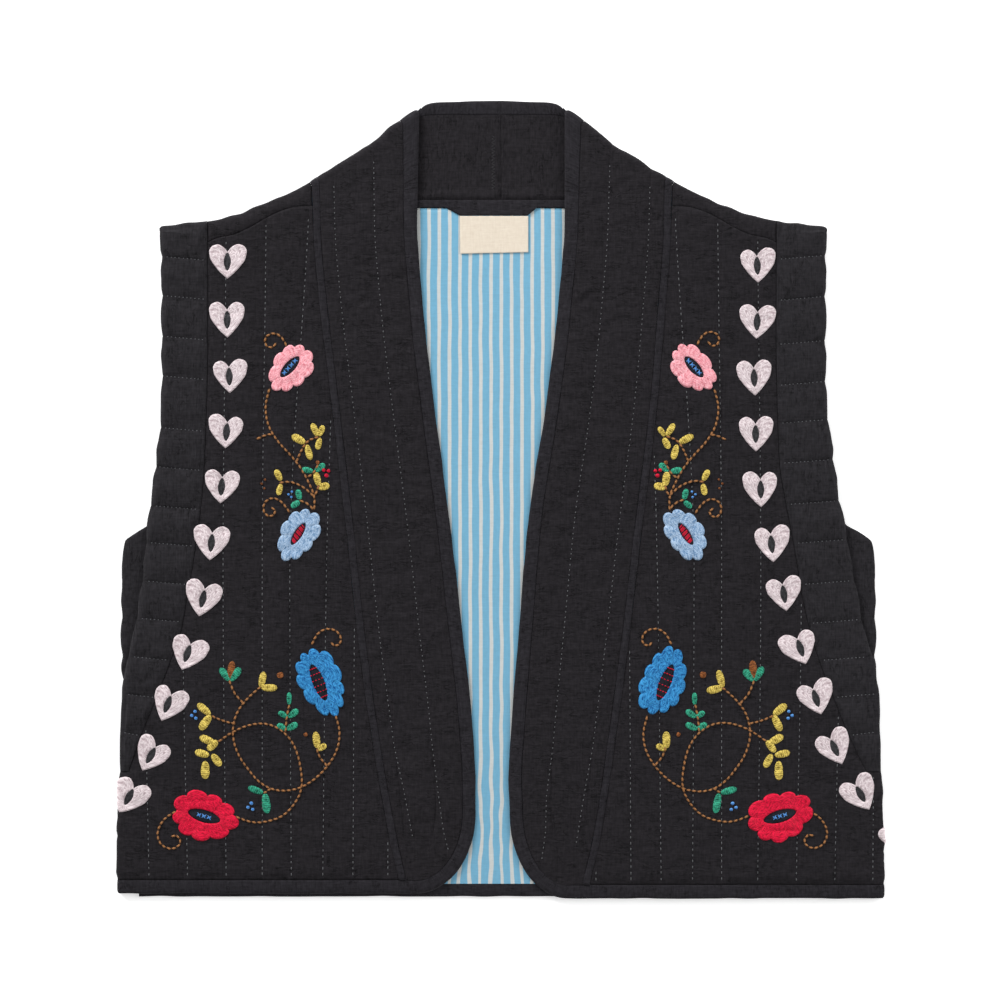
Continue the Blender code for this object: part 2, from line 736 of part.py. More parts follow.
def make_edge_binding(side, colour):
    """The binding that runs from under the side along the hem, up the edge and round the neck."""
    shares = (0.0, 0.3, 0.7, 1.0)
    sheet = Sheet()
    rows = []

    def slim(share):
        return BINDING_EDGE_SLIM if share == 1.0 else 1.0

    def bulge(share):
        return 0.0 if share in (0.0, 1.0) else BINDING_PUFF

    hem = FRONT_HEM[side]
    turns = side_turns(side, hem, SHELL_WALL)
    level = span(CORNER_REACH + 14, turns[0], 48.0)
    for reach in [turns[-1] + UNDER_WIDTH] + turns[:0:-1] + level[::-1]:
        fading = ease((turns[-1] - reach) / (turns[-1] - turns[0]))
        row = []
        for share in shares:
            start = Spot(turns[0], hem + BINDING_WIDTH * (1 - share))
            puff = bulge(share) * fading
            distance = reach - start.reach
            points = folded(side, start, (1, 0), distance, SHELL_WALL, puff, slim(share))
            row.append((share, *points))
        rows.append(sheet.row(row))
    for edge, seam in edge_stations(side):
        row = []
        for share in shares:
            spot = mix_spot(seam, edge, share)
            point = front_point(side, spot.reach, spot.height, SHELL_WALL, bulge(share), slim(share))
            row.append((share,) + point[1:])
        rows.append(sheet.row(row))
    ends = COLLAR_BACK[0]
    for step in range(FOLD_STEPS + 1):
        row = []
        for share in shares:
            start, outward = top_fold(mix(ends.seam.reach, ends.edge.reach, share), SHELL_WALL)
            turned = fold_length(start.height) * step / FOLD_STEPS
            puff = bulge(share) * (1 - step / FOLD_STEPS)
            points = folded(side, start, outward, turned, SHELL_WALL, puff, slim(share))
            row.append((share, *points))
        rows.append(sheet.row(row))
    for section in collar_sections(side):
        row = []
        for share in shares:
            spot = mix_spot(section.seam, section.edge, share)
            row.append(lower_point(side, spot, SHELL_WALL, slim(share), share))
        rows.append(sheet.row(row))
    sheet.join_all(rows)
    return sheet.build(f"{side}_edge_binding", colour)


def back_side(side, height):
    """Reach of the back panel's side edge, at its seam with the front or the armhole band."""
    if height < UNDERARM:
        return side_start(side, height, SHELL_WALL) - UNDER_WIDTH - WIDE_GAP
    return back_seam(side, height)


def across_back(height, longest, short_by=0.0):
    """Signed reaches across the back at a height, even from side edge to side edge."""
    left, right = (back_side(side, height) - short_by for side in SIDES)
    return span(-left, right, longest)


def signed_point(reach, height, z_low, z_high):
    side = "left" if reach < 0 else "right"
    return reach, place(side, abs(reach), height, z_low), place(side, abs(reach), height, z_high)


def neck_and_shoulders(drop, clear):
    """Signed spots along the top of the back: its neck edge and its shoulder folds."""
    spots = []
    for side in SIDES:
        half = []
        for section in COLLAR_BACK[:0:-1]:
            height = section.neck.height - TAPE_WIDTH - GAP - drop
            half.append((section.neck.reach, height))
        for reach, _, _ in shoulder_stops(side):
            half.append((reach, top_fold(reach, SHELL_WALL)[0].height - clear))
        spots.append([(SIGN[side] * reach, height) for reach, height in half])
    return spots[0][::-1] + spots[1]


def make_back(colour):
    """The back panel, flat on the surface, with its shoulders turned over to the front."""
    sheet = Sheet()
    rows = []
    hem = BACK_HEM + BACK_HEM_WIDTH + GAP
    for height in span(hem, BELOW_UNDERARM, 42.0) + [UNDERARM, *BACK_HEIGHTS]:
        reaches = across_back(height, 44.0)
        rows.append(sheet.row([signed_point(r, height, 0.0, SHELL_WALL) for r in reaches]))
    top = [signed_point(r, height, 0.0, SHELL_WALL) for r, height in neck_and_shoulders(0.0, 0.0)]
    rows.append(sheet.row(top))
    sheet.join_all(rows)
    for side in SIDES:
        stops = [stop for stop in rows[-1] if stop[0] * SIGN[side] > NECK_CORNER - 0.01]
        previous = stops
        for step in range(FOLD_STEPS - 1, -2, -1):
            row = []
            for at, _ in stops:
                start, outward = top_fold(abs(at), SHELL_WALL)
                turned = fold_length(start.height) * step / FOLD_STEPS
                if step < 0:
                    turned = 0.0
                    start = Spot(start.reach, height_at(SHOULDER_SEAM, start.reach))
                row.append((at, *folded(side, start, outward, turned, SHELL_WALL)))
            current = sheet.row(row)
            sheet.join(previous, current)
            previous = current
    return sheet.build("back_panel", colour)


def make_lining(colour):
    """The striped lining on the inside of the back, up to the neck facing."""
    sheet = Sheet()
    rows = []
    top_z = LINING_Z + LINING_WALL
    hem = BACK_HEM + BACK_HEM_WIDTH + GAP
    for height in span(hem, BELOW_UNDERARM, 42.0) + [UNDERARM, *BACK_HEIGHTS]:
        reaches = across_back(height, 50.0, 2.0)
        rows.append(sheet.row([signed_point(r, height, LINING_Z, top_z) for r in reaches]))
    spots = neck_and_shoulders(-1.8, 3.0)
    rows.append(sheet.row([signed_point(r, height, LINING_Z, top_z) for r, height in spots]))
    sheet.join_all(rows)
    return sheet.build("back_lining", colour)


def make_back_hem(colour):
    """The binding of the back hem, round the edges of the back panel and its lining."""
    sheet = Sheet()
    rows = []
    thick = LINING_Z + LINING_WALL
    profile = ((0.0, 0.9), (1.6, 0.0), (BACK_HEM_WIDTH, 0.0))
    for reach in across_back(BACK_HEM, 60.0):
        row = []
        for up, shave in profile:
            point = signed_point(reach, BACK_HEM + up, shave, thick - shave)
            row.append((up,) + point[1:])
        rows.append(sheet.row(row))
    sheet.join_all(rows)
    return sheet.build("back_hem_binding", colour)


def make_flat_piece(name, outline, z_low, z_high, colour):
    """A flat cloth piece from its outline, as x and height, extruded to its thickness."""
    work = bmesh.new()
    corners = [work.verts.new((x * MM, (h - LENGTH / 2) * MM, z_low * MM)) for x, h in outline]
    face = work.faces.new(corners)
    grown = bmesh.ops.extrude_face_region(work, geom=[face])
    top = [item for item in grown["geom"] if isinstance(item, bmesh.types.BMVert)]
    bmesh.ops.translate(work, verts=top, vec=(0, 0, (z_high - z_low) * MM))
    bmesh.ops.recalc_face_normals(work, faces=work.faces)
    mesh = bpy.data.meshes.new(name)
    work.to_mesh(mesh)
    work.free()
    mesh.materials.append(colour)
    made = bpy.data.objects.new(name, mesh)
    bpy.context.scene.collection.objects.link(made)
    return made


def make_neck_facing(colour):
    """The facing over the back neck seam, with the tab that carries the label."""
    top_z = FACING_Z + LABEL_WALL
    return make_flat_piece("neck_facing", FACING_OUTLINE, FACING_Z, top_z, colour)


def make_label(colour):
    """The plain woven label below the tab."""
    return make_flat_piece("label", LABEL_OUTLINE, FACING_Z, FACING_Z + LABEL_WALL, colour)


def cloth_colour(name, colour, roughness):
    """A matt cloth material."""
    made = bpy.data.materials.new(name)
    made.use_nodes = True
    shader = made.node_tree.nodes["Principled BSDF"]
    shader.inputs["Base Color"].default_value = (*colour, 1.0)
    shader.inputs["Roughness"].default_value = roughness
    shader.inputs["Metallic"].default_value = 0.0
    return made


def clear_scene():
    for found in list(bpy.data.objects):
        bpy.data.objects.remove(found, do_unlink=True)


def main():
    clear_scene()
    shell = cloth_colour("quilted_cotton", (0.021, 0.019, 0.022), 0.85)
    tape = cloth_colour("binding_cotton", (0.027, 0.025, 0.028), 0.8)
    stripe = cloth_colour("striped_lining", (0.20, 0.50, 0.68), 0.8)
    cream = cloth_colour("label_cotton", (0.83, 0.74, 0.62), 0.75)
    make_back(shell)
    make_lining(stripe)
    make_back_hem(tape)
    make_neck_facing(tape)
    make_label(cream)
    for side in SIDES:
        make_front(side, shell)
        make_collar_band(side, shell)
        make_seam_tape(side, tape)
        make_edge_binding(side, tape)
        make_armhole_band(side, shell)


main()
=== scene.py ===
# Quilted folk vest, laid flat: the looks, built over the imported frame.
# Lengths are in millimetres until onCloth or toScene turns them into metres.
# A reach runs sideways from the line between the two fronts, a height up from the lowest hem.

import math

import bpy
import numpy as np
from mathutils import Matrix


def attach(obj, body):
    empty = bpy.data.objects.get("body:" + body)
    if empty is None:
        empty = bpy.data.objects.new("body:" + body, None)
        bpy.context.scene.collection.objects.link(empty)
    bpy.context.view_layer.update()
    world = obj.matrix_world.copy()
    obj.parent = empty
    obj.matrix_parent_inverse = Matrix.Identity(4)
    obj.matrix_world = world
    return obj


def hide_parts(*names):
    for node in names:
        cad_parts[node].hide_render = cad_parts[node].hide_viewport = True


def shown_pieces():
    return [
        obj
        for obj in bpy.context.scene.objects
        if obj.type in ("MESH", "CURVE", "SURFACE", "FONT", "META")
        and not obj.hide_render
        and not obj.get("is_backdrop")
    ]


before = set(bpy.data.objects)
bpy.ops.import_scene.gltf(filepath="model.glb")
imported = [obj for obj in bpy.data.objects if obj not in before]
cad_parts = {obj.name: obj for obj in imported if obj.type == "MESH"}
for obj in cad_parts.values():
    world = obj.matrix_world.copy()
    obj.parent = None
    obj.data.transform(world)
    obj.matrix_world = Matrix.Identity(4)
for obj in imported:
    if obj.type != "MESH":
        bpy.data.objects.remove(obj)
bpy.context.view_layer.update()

mm = 0.001
sides = ("left", "right")
sign = {"left": -1, "right": 1}

vest = {
    "sideWave": 0.7,
    "shoulderHump": 0.75,
    "length": 591.0,
    "openingLine": -6.7,
    "gap": 0.06,
    "shellWall": 2.0,
    "bandWall": 2.6,
    "liningWall": 1.0,
    "liningZ": 2.3,
    "facingZ": 3.6,
    "upperZ": 3.6,
    "upperZAtNeck": 4.9,
    "riseFrom": 430.0,
    "riseTo": 498.0,
    "frontHem": {"left": 4.4, "right": 0.8},
    "backHem": 2.0,
    "backHemWidth": 9.4,
    "bindingWidth": 10.0,
    "tapeWidth": 5.6,
    "cornerHeight": 65.0,
    "cornerReach": 56.0,
    "underWidth": 12.0,
    "underarm": 95.0,
    "neckCorner": 133.5,
    "shoulderEnd": 210.5,
    "shoulderIn": 54.0,
    "shoulderOut": 248.0,
    "frontLevel": 440.0,
    "backLevel": 470.0,
    "edgeTop": 500.0,
    "tapeTop": 505.0,
}

# camera: straight down, framed as the photograph

view = {"distance": 2000.0, "frameWidth": 740.0, "sensor": 36.0, "centre": (-0.74, 0.37), "focusZ": 6.0}

camera = bpy.data.cameras.new("topCamera")
camera.sensor_width = view["sensor"]
camera.lens = view["sensor"] * (view["distance"] - view["focusZ"]) / view["frameWidth"]
camera.clip_end = 20
cameraObject = bpy.data.objects.new("topCamera", camera)
cameraObject.location = (view["centre"][0] * mm, view["centre"][1] * mm, view["distance"] * mm)
bpy.context.scene.collection.objects.link(cameraObject)
bpy.context.scene.camera = cameraObject


# smooth curves through short tables

def curveThrough(knots, values):
    knots, values = np.array(knots, float), np.array(values, float)
    steps = np.diff(knots)
    slopes = np.diff(values) / steps
    before, after = slopes[:-1], slopes[1:]
    both = np.where(np.abs(before + after) < 1e-12, 1.0, before + after)
    inner = np.where(before * after > 0, 2 * before * after / both, 0.0)
    tangents = np.concatenate(([slopes[0]], inner, [slopes[-1]]))

    def at(x):
        x = np.clip(x, knots[0], knots[-1])
        i = np.clip(np.searchsorted(knots, x, side="right") - 1, 0, len(steps) - 1)
        t = (x - knots[i]) / steps[i]
        bend = tangents[i] * steps[i] * t * (1 - t) ** 2 - tangents[i + 1] * steps[i] * t * t * (1 - t)
        return values[i] + (values[i + 1] - values[i]) * t * t * (3 - 2 * t) + bend

    return at


def sideCurves(rows):  # rows are (height, left reach, right reach)
    heights = [row[0] for row in rows]
    return {side: curveThrough(heights, [row[1 + i] for row in rows]) for i, side in enumerate(sides)}


frontEdge = sideCurves([
    (65, 12.0, 13.0), (90, 12.2, 12.2), (128, 14.4, 14.4), (205, 22.6, 20.4), (282, 31.5, 27.0),
    (359, 41.8, 38.9), (436, 50.7, 48.5), (512, 55.6, 54.0), (582, 53.8, 53.8),
])
tapeLine = sideCurves([
    (14, 66.0, 70.0), (51, 74.0, 78.4), (118, 85.8, 88.5), (192, 96.2, 98.5), (281, 105.8, 109.0),
    (370, 116.2, 119.9), (444, 125.0, 126.0), (490, 129.0, 129.3), (531, 130.4, 130.4),
])
armholeSeam = sideCurves([
    (95, 269.0, 277.2), (125, 258.8, 263.0), (148, 249.0, 253.5), (177, 238.0, 242.4),
    (199, 230.5, 235.7), (222, 226.0, 230.5), (266, 218.7, 223.0), (296, 215.0, 217.2),
    (325, 212.8, 212.8), (414, 210.5, 210.5), (503, 210.5, 210.5),
])
bandEdgeFront = sideCurves([
    (155, 274.0, 286.5), (173, 271.0, 284.0), (192, 266.8, 277.9), (236, 259.4, 269.0),
    (281, 255.0, 261.0), (310, 251.2, 255.7), (340, 247.5, 252.0), (370, 245.3, 248.3),
    (443, 245.0, 247.5), (498, 246.0, 248.0),
])
bandEdgeBack = sideCurves([
    (158, 272.5, 283.0), (170, 275.0, 285.0), (192, 275.4, 285.0), (251, 274.6, 284.2),
    (264.5, 273.8, 283.0), (271.5, 264.5, 274.0), (278.5, 254.0, 261.5), (310, 249.0, 253.5),
    (370, 243.3, 246.3), (443, 243.0, 245.5), (498, 244.5, 246.5),
])
backSeam = sideCurves([
    (95, 260.0, 272.0), (125, 254.0, 262.0), (148, 247.0, 252.5), (177, 238.0, 242.4),
    (222, 226.0, 230.5), (296, 215.0, 217.2), (325, 212.8, 212.8), (414, 210.5, 210.5),
    (503, 210.5, 210.5),
])
sideFold = sideCurves([
    (0, 277.2, 290.2), (44, 277.2, 290.2), (74, 275.8, 289.0), (118, 275.6, 287.6),
    (148, 274.6, 286.8), (178, 275.2, 286.0), (262, 274.6, 284.4),
])
shoulderTop = curveThrough(
    [54, 64, 79, 95, 113, 134, 156, 172, 185, 202, 213, 248],
    [586.6, 580.0, 568.0, 555.8, 544.4, 532.2, 520.6, 514.2, 508.6, 503.6, 502.2, 498.4],
)
shoulderSeam = curveThrough(
    [133, 144, 154, 164, 180, 190, 203, 211],
    [513.4, 512.8, 510.2, 506.0, 496.8, 492.4, 489.6, 486.0],
)
# lines of running stitch down each front: reach at the hem, the chest and the shoulder
quiltLines = [
    curveThrough([0, 240, 500], reaches) for reaches in (
        (77.0, 77.0, 77.0), (103.0, 101.5, 98.0), (125.4, 122.5, 114.0), (148.4, 149.6, 135.8),
        (170.0, 170.0, 167.0), (196.5, 199.0, 196.5), (225.0, 229.0, 229.0),
        (253.5, 257.5, 257.5), (281.8, 283.0, 283.0),
    )
]
collarShares = (0.35, 0.83)
armhole = {"tilt": 3.0, "crotchLine": 12, "lastLine": 13}
# heights of the stitch lines across the armhole bands, between the shoulder fold and the underarm
armholeLines = {
    "left": (503.7, 473.1, 444.2, 414.2, 384.8, 346.6, 317.6, 288.8,
             261.6, 233.2, 205.6, 177.2, 149.6, 121.4, 95.9),
    "right": (503.4, 473.8, 443.5, 410.9, 380.6, 352.5, 322.9, 292.5,
              263.7, 233.3, 204.5, 177.1, 149.7, 121.6, 95.9),
}
# the collar behind the neck: reaches and heights of its edge, its binding's seam and the neck seam
collarBack = {
    "edge": [(53.8, 581.6), (52.6, 586.0), (47.6, 589.6), (40.0, 590.9),
             (27.0, 591.2), (14.0, 591.8), (0.0, 592.0)],
    "seam": [(66.0, 573.2), (58.0, 578.2), (50.0, 580.6), (42.0, 581.3),
             (28.0, 581.5), (14.0, 581.5), (0.0, 581.5)],
    "neck": [(127.6, 531.0), (112.0, 525.4), (95.0, 521.2), (76.0, 518.6),
             (51.0, 517.8), (24.0, 517.8), (0.0, 517.8)],
}


def mix(a, b, t):
    return a + (b - a) * t


def ease(t):
    t = np.clip(t, 0.0, 1.0)
    return t * t * (3 - 2 * t)


def stops(start, end, spacing):
    return np.linspace(start, end, max(2, int(round(abs(end - start) / spacing)) + 1))


def clustered(low, high, count):  # closer together towards both ends
    t = 0.5 - 0.5 * np.cos(math.pi * np.linspace(0.0, 1.0, count + 1))
    return mix(low, high, t)


def clusteredStops(edges, spacing):
    counts = [max(1, int(round((high - low) / spacing))) for low, high in zip(edges, edges[1:])]
    parts = [clustered(low, high, count) for low, high, count in zip(edges, edges[1:], counts)]
    return np.concatenate([parts[0]] + [part[1:] for part in parts[1:]])


def softNoise(x, y, wide, tall, seed):  # smooth hills between -1 and 1, about wide by tall
    x, y = np.asarray(x, float) / wide + 500.37, np.asarray(y, float) / tall + 500.71
    lattice = np.random.default_rng(seed).uniform(-1, 1, (64, 64))
    i, j = np.floor(x).astype(int), np.floor(y).astype(int)
    s, t = x - i, y - j
    s, t = s * s * (3 - 2 * s), t * t * (3 - 2 * t)
    a, b = lattice[i % 64, j % 64], lattice[(i + 1) % 64, j % 64]
    c, d = lattice[i % 64, (j + 1) % 64], lattice[(i + 1) % 64, (j + 1) % 64]
    return mix(mix(a, b, s), mix(c, d, s), t)


def lineNoise(x, wide, seed):  # the same along one line
    return softNoise(x, 0 * x, wide, 9, seed)


# where the cloth lies

def upperZ(height):
    share = (height - vest["riseFrom"]) / (vest["riseTo"] - vest["riseFrom"])
    return mix(vest["upperZ"], vest["upperZAtNeck"], ease(share))


def toScene(side, reach, height, z):
    x = (vest["openingLine"] + sign[side] * reach) * mm
    y = (height - vest["length"] / 2) * mm
    x, y, z = np.broadcast_arrays(x, y, np.asarray(z) * mm)
    return np.stack((x, y, z), -1)


def folded(side, startReach, startHeight, outward, distance, wall, lift=0.0, slim=1.0, innerLift=0.0):
    low = wall / 2
    high = upperZ(startHeight) + wall / 2
    radius = (high - low) / 2
    turn = np.clip(distance / radius, 0.0, math.pi)
    flat = np.where(distance < 0, distance, np.minimum(0.0, math.pi * radius - distance))
    out = flat + radius * np.sin(turn)
    across, up = np.sin(turn), np.cos(turn)
    middle = (high + low) / 2 + radius * up
    points = []
    for off in (wall / 2 * slim + lift * slim, -wall / 2 * slim - innerLift):
        shift = out + across * off
        reach = startReach + outward[0] * shift
        height = startHeight + outward[1] * shift
        points.append(toScene(side, reach, height, middle + up * off))
    return points


def foldLength(height):
    return math.pi * upperZ(height) / 2


def sideStart(side, height, wall):
    wave = vest["sideWave"] * lineNoise(height, 12, 5 + sign[side])
    return sideFold[side](height) + wave - (upperZ(height) + wall) / 2


def shoulderWave(side, reach):
    small, wide = lineNoise(reach, 8.5, 43 + sign[side]), lineNoise(reach, 19, 46 + sign[side])
    humps = small + 0.6 * wide
    return vest["shoulderHump"] * humps * ease((reach - 62) / 12)


def topFold(side, reach, wall):
    rise = shoulderTop(reach + 1) - shoulderTop(reach - 1)
    run = np.minimum(reach + 1, vest["shoulderOut"]) - np.maximum(reach - 1, vest["shoulderIn"])
    length = np.hypot(run, rise)
    outward = (-rise / length, run / length)
    backset = (vest["upperZAtNeck"] + wall) / 2
    return shoulderTop(reach) + shoulderWave(side, reach) - backset / outward[1], outward


def frontPoints(side, reach, height, wall, lift=0.0, slim=1.0):
    start = sideStart(side, height, wall)
    return folded(side, start, height, (1.0, 0.0), reach - start, wall, lift, slim)


def lowerPoints(side, reach, height, wall, lift=0.0, slim=1.0):  # lies on the surface, seen from inside
    shave = wall / 2 * (1 - slim)
    return [toScene(side, reach, height, shave), toScene(side, reach, height, wall - shave + lift)]


# how the cloth stands up: quilting, puckers and creases

relief = {
    "puff": 1.8,
    "fullWidth": 22.0,
    "roundness": 0.6,
    "bandPuff": 1.6,
    "pucker": 0.36,
    "tuck": 0.5,
    "sway": 0.45,
    "edgeSway": 0.45,
    "tapePuff": 1.1,
    "bindingPuff": 0.75,
    "bindingWrinkle": 0.2,
}
# soft troughs: reach and height of the start and the end, how deep and how wide
creases = {
    "left": [
        (92, 470, 74, 330, 0.75, 5.0), (75, 560, 88, 430, 0.5, 6.0), (112, 300, 96, 140, 0.6, 4.5),
        (62, 240, 40, 120, 0.5, 5.0), (150, 480, 139, 400, 0.55, 5.5), (205, 420, 188, 250, 0.5, 6.0),
        (245, 120, 212, 20, 0.6, 6.5), (175, 240, 186, 100, 0.45, 5.0), (228, 450, 226, 330, 0.4, 4.0),
        (47, 75, 60, 30, 0.6, 4.0), (86, 479, 69, 480, 0.75, 1.7), (76, 463, 60, 462, 0.85, 1.6),
        (76, 410, 55, 408, 0.85, 1.7), (110, 447, 95, 446, 0.6, 1.8), (105, 467, 92, 466, 0.55, 1.8),
        (91, 346, 73, 344, 0.6, 2.0), (74, 212, 51, 218, 0.7, 2.0), (40, 195, 21, 202, 0.65, 1.9),
        (57, 262, 38, 257, 0.55, 2.0), (82, 192, 86, 147, 0.65, 2.2), (95, 312, 100, 248, 0.6, 2.4),
        (108, 256, 103, 206, 0.5, 2.4), (186, 147, 214, 156, 0.7, 3.6), (142, 48, 145, 15, 0.6, 2.2),
        (133, 44, 135, 15, 0.5, 2.0), (114, 49, 111, 14, 0.6, 2.2), (94, 55, 88, 14, 0.65, 2.2),
        (68, 55, 58, 20, 0.65, 2.2), (55, 47, 43, 24, 0.6, 2.0), (179, 44, 180, 15, 0.5, 2.2),
        (212, 40, 214, 15, 0.5, 2.0), (238, 38, 240, 15, 0.55, 2.2), (144, 232, 147, 190, 0.5, 2.4),
        (196, 405, 180, 402, 0.45, 2.4), (202, 318, 190, 322, 0.45, 2.4),
    ],
    "right": [
        (88, 500, 76, 380, 0.65, 5.5), (70, 340, 55, 190, 0.6, 5.0), (98, 240, 84, 110, 0.55, 4.5),
        (147, 440, 160, 300, 0.5, 5.5), (197, 300, 206, 150, 0.5, 6.0), (240, 130, 226, 30, 0.6, 6.5),
        (120, 130, 135, 25, 0.5, 5.0), (232, 440, 228, 350, 0.4, 4.0), (50, 70, 64, 28, 0.6, 4.0),
        (256, 230, 268, 120, 0.5, 5.0), (63, 513, 89, 521, 0.85, 2.0), (87, 528, 112, 537, 0.8, 2.0),
        (60, 438, 82, 453, 0.75, 2.0), (78, 493, 108, 499, 0.65, 2.0), (60, 466, 76, 472, 0.6, 1.9),
        (71, 355, 93, 351, 0.6, 2.0), (84, 404, 104, 402, 0.55, 2.0), (52, 300, 68, 304, 0.55, 2.0),
        (40, 228, 58, 222, 0.55, 2.0), (110, 216, 120, 182, 0.7, 2.3), (52, 97, 65, 34, 0.75, 2.3),
        (82, 46, 80, 15, 0.55, 2.1), (110, 44, 112, 15, 0.6, 2.2), (134, 49, 130, 15, 0.6, 2.2),
        (155, 38, 157, 15, 0.5, 2.1), (186, 42, 188, 15, 0.5, 2.1), (214, 38, 212, 15, 0.5, 2.1),
        (240, 40, 238, 15, 0.55, 2.2), (176, 250, 174, 196, 0.45, 2.4), (150, 236, 153, 190, 0.5, 2.4),
        (206, 420, 192, 417, 0.45, 2.4), (212, 160, 190, 150, 0.6, 3.2),
    ],
}


def creaseLift(side, reach, height):
    total = np.zeros(np.broadcast(reach, height).shape)
    first = 0 if side == "left" else len(creases["left"])
    for row, (x, y, endX, endY, depth, width) in enumerate(creases[side], first):
        runX, runY = endX - x, endY - y
        length = np.hypot(runX, runY)
        along = ((reach - x) * runX + (height - y) * runY) / length
        off = ((height - y) * runX - (reach - x) * runY) / length
        off = off + 2.5 * np.sin(along / 21.0 + row)  # each crease bends its own way
        fade = ease(along / (0.3 * length)) * ease((length - along) / (0.35 * length))
        trough = np.exp(-((off / width) ** 2)) - 0.55 * np.exp(-(((off - 1.7 * width) / (0.9 * width)) ** 2))
        total -= depth * fade * trough
    return total


def channelLift(at, bounds, puff):  # rises between neighbouring lines and comes down on them
    lift = np.zeros(np.shape(at))
    for low, high in zip(bounds, bounds[1:]):
        width = np.maximum(high - low, 1e-6)
        share = (at - low) / width
        inside = (share > 0) & (share < 1) & (high - low > 2.0)
        hump = np.sin(math.pi * np.clip(share, 0, 1)) ** relief["roundness"]
        lift = np.where(inside, puff * hump * np.minimum(1.0, width / relief["fullWidth"]), lift)
    return lift


def unevenly(side, reach, height, lift, seed):
    x = sign[side] * reach
    swell = 1 + relief["sway"] * softNoise(x, height, 34, 47, seed)
    wrinkle = softNoise(x, height, 13, 4.6, seed + 1) + 0.7 * softNoise(x, height, 7, 6, seed + 2)
    line = np.exp(-((softNoise(x, height, 17, 7.5, seed + 3) / 0.2) ** 2))
    tuck = line * ease(0.3 + 1.5 * softNoise(x, height, 19, 13, seed + 4))
    return lift * swell + (relief["pucker"] * wrinkle - relief["tuck"] * tuck) * ease(lift / 0.6)


def stripWrinkle(run, share, seed):  # small wrinkles across a narrow strip of cloth
    slant = run + 3.0 * share
    wrinkle = softNoise(slant, 4 * share, 3.6, 5, seed) + 0.8 * softNoise(slant, 4 * share, 8.5, 9, seed + 1)
    return relief["bindingWrinkle"] * wrinkle * np.sin(math.pi * share) ** 0.5


def tapeOutside(side, height):
    return tapeLine[side](height) + vest["tapeWidth"] / 2 + vest["gap"]


def frontLift(side, reach, height):
    inner = tapeOutside(side, height)
    fold = sideStart(side, height, vest["shellWall"])
    outer = np.where(height < vest["underarm"], fold + 7.0, armholeSeam[side](height))
    bounds = [inner] + [np.clip(line(height), inner, outer) for line in quiltLines] + [outer]
    lift = channelLift(reach, bounds, relief["puff"])
    lift = unevenly(side, reach, height, lift, 11)
    lift = lift + creaseLift(side, reach, height) * ease(lift / 0.5)
    underarm = vest["underarm"]
    atBand = ease((reach - armholeSeam[side](underarm)) / 4) * ease(1 - (underarm - height) / 8)
    lift = lift * (1 - 0.8 * atBand)
    hemFade = ease((height - vest["frontHem"][side] - vest["bindingWidth"]) / 7)
    return np.maximum(lift, 0.0) * hemFade * ease((fold + 8 - reach) / 6)


def armholeLine(side, step, share=0.0):
    lines = armholeLines[side]
    return np.interp(step, range(len(lines)), lines) + armhole["tilt"] * share


def armholeLift(side, reach, height, share):
    lines = armholeLines[side][::-1]
    step = np.interp(height - armhole["tilt"] * share, lines, range(len(lines) - 1, -1, -1))
    third = step - np.floor(step)
    lift = relief["puff"] * np.sin(math.pi * third) ** relief["roundness"]
    lift = np.where(step > armhole["lastLine"], 0.75 * lift, lift)
    lift = lift * ease(5 * share) * ease(7 * (1 - share))
    return np.maximum(unevenly(side, reach, height, lift, 31), 0.0), third


def collarLift(side, reach, height, share):
    bounds = [np.full(np.shape(share), at) for at in (0.0, *collarShares, 1.0)]
    lift = channelLift(share * 60.0, [60.0 * bound for bound in bounds], relief["bandPuff"])
    narrow = ease((height - vest["frontHem"][side] - vest["bindingWidth"]) / 58)
    lift = unevenly(side, reach, height, lift * narrow, 21)
    lift = lift + creaseLift(side, reach, height) * ease(lift / 0.5)
    return np.maximum(lift, 0.0)


# cloth pieces from patches of matching outer and inner points

def patch(points, flatU, flatV):
    flatU, flatV = np.broadcast_arrays(flatU, flatV)
    return {"outer": points[0], "inner": points[1], "flat": np.stack((flatU, flatV), -1) * mm}


def newPiece(name, mesh, material, *nodes, smooth=True):
    if smooth:
        mesh.shade_smooth()
    mesh.materials.append(material)
    piece = bpy.data.objects.new(name, mesh)
    bpy.context.scene.collection.objects.link(piece)
    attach(piece, "root")
    if nodes:
        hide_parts(*nodes)
    return piece


def fillMesh(mesh, points, faces, flat):
    mesh.vertices.add(len(points))
    mesh.vertices.foreach_set("co", points.astype(np.float32).ravel())
    mesh.loops.add(faces.size)
    mesh.loops.foreach_set("vertex_index", faces.astype(np.int32).ravel())
    mesh.polygons.add(len(faces))
    mesh.polygons.foreach_set("loop_start", np.arange(0, faces.size, faces.shape[1], dtype=np.int32))
    mesh.update(calc_edges=True)
    layer = mesh.uv_layers.new(name="cloth")
    layer.data.foreach_set("uv", flat[faces.ravel()].astype(np.float32).ravel())
    mesh.validate()


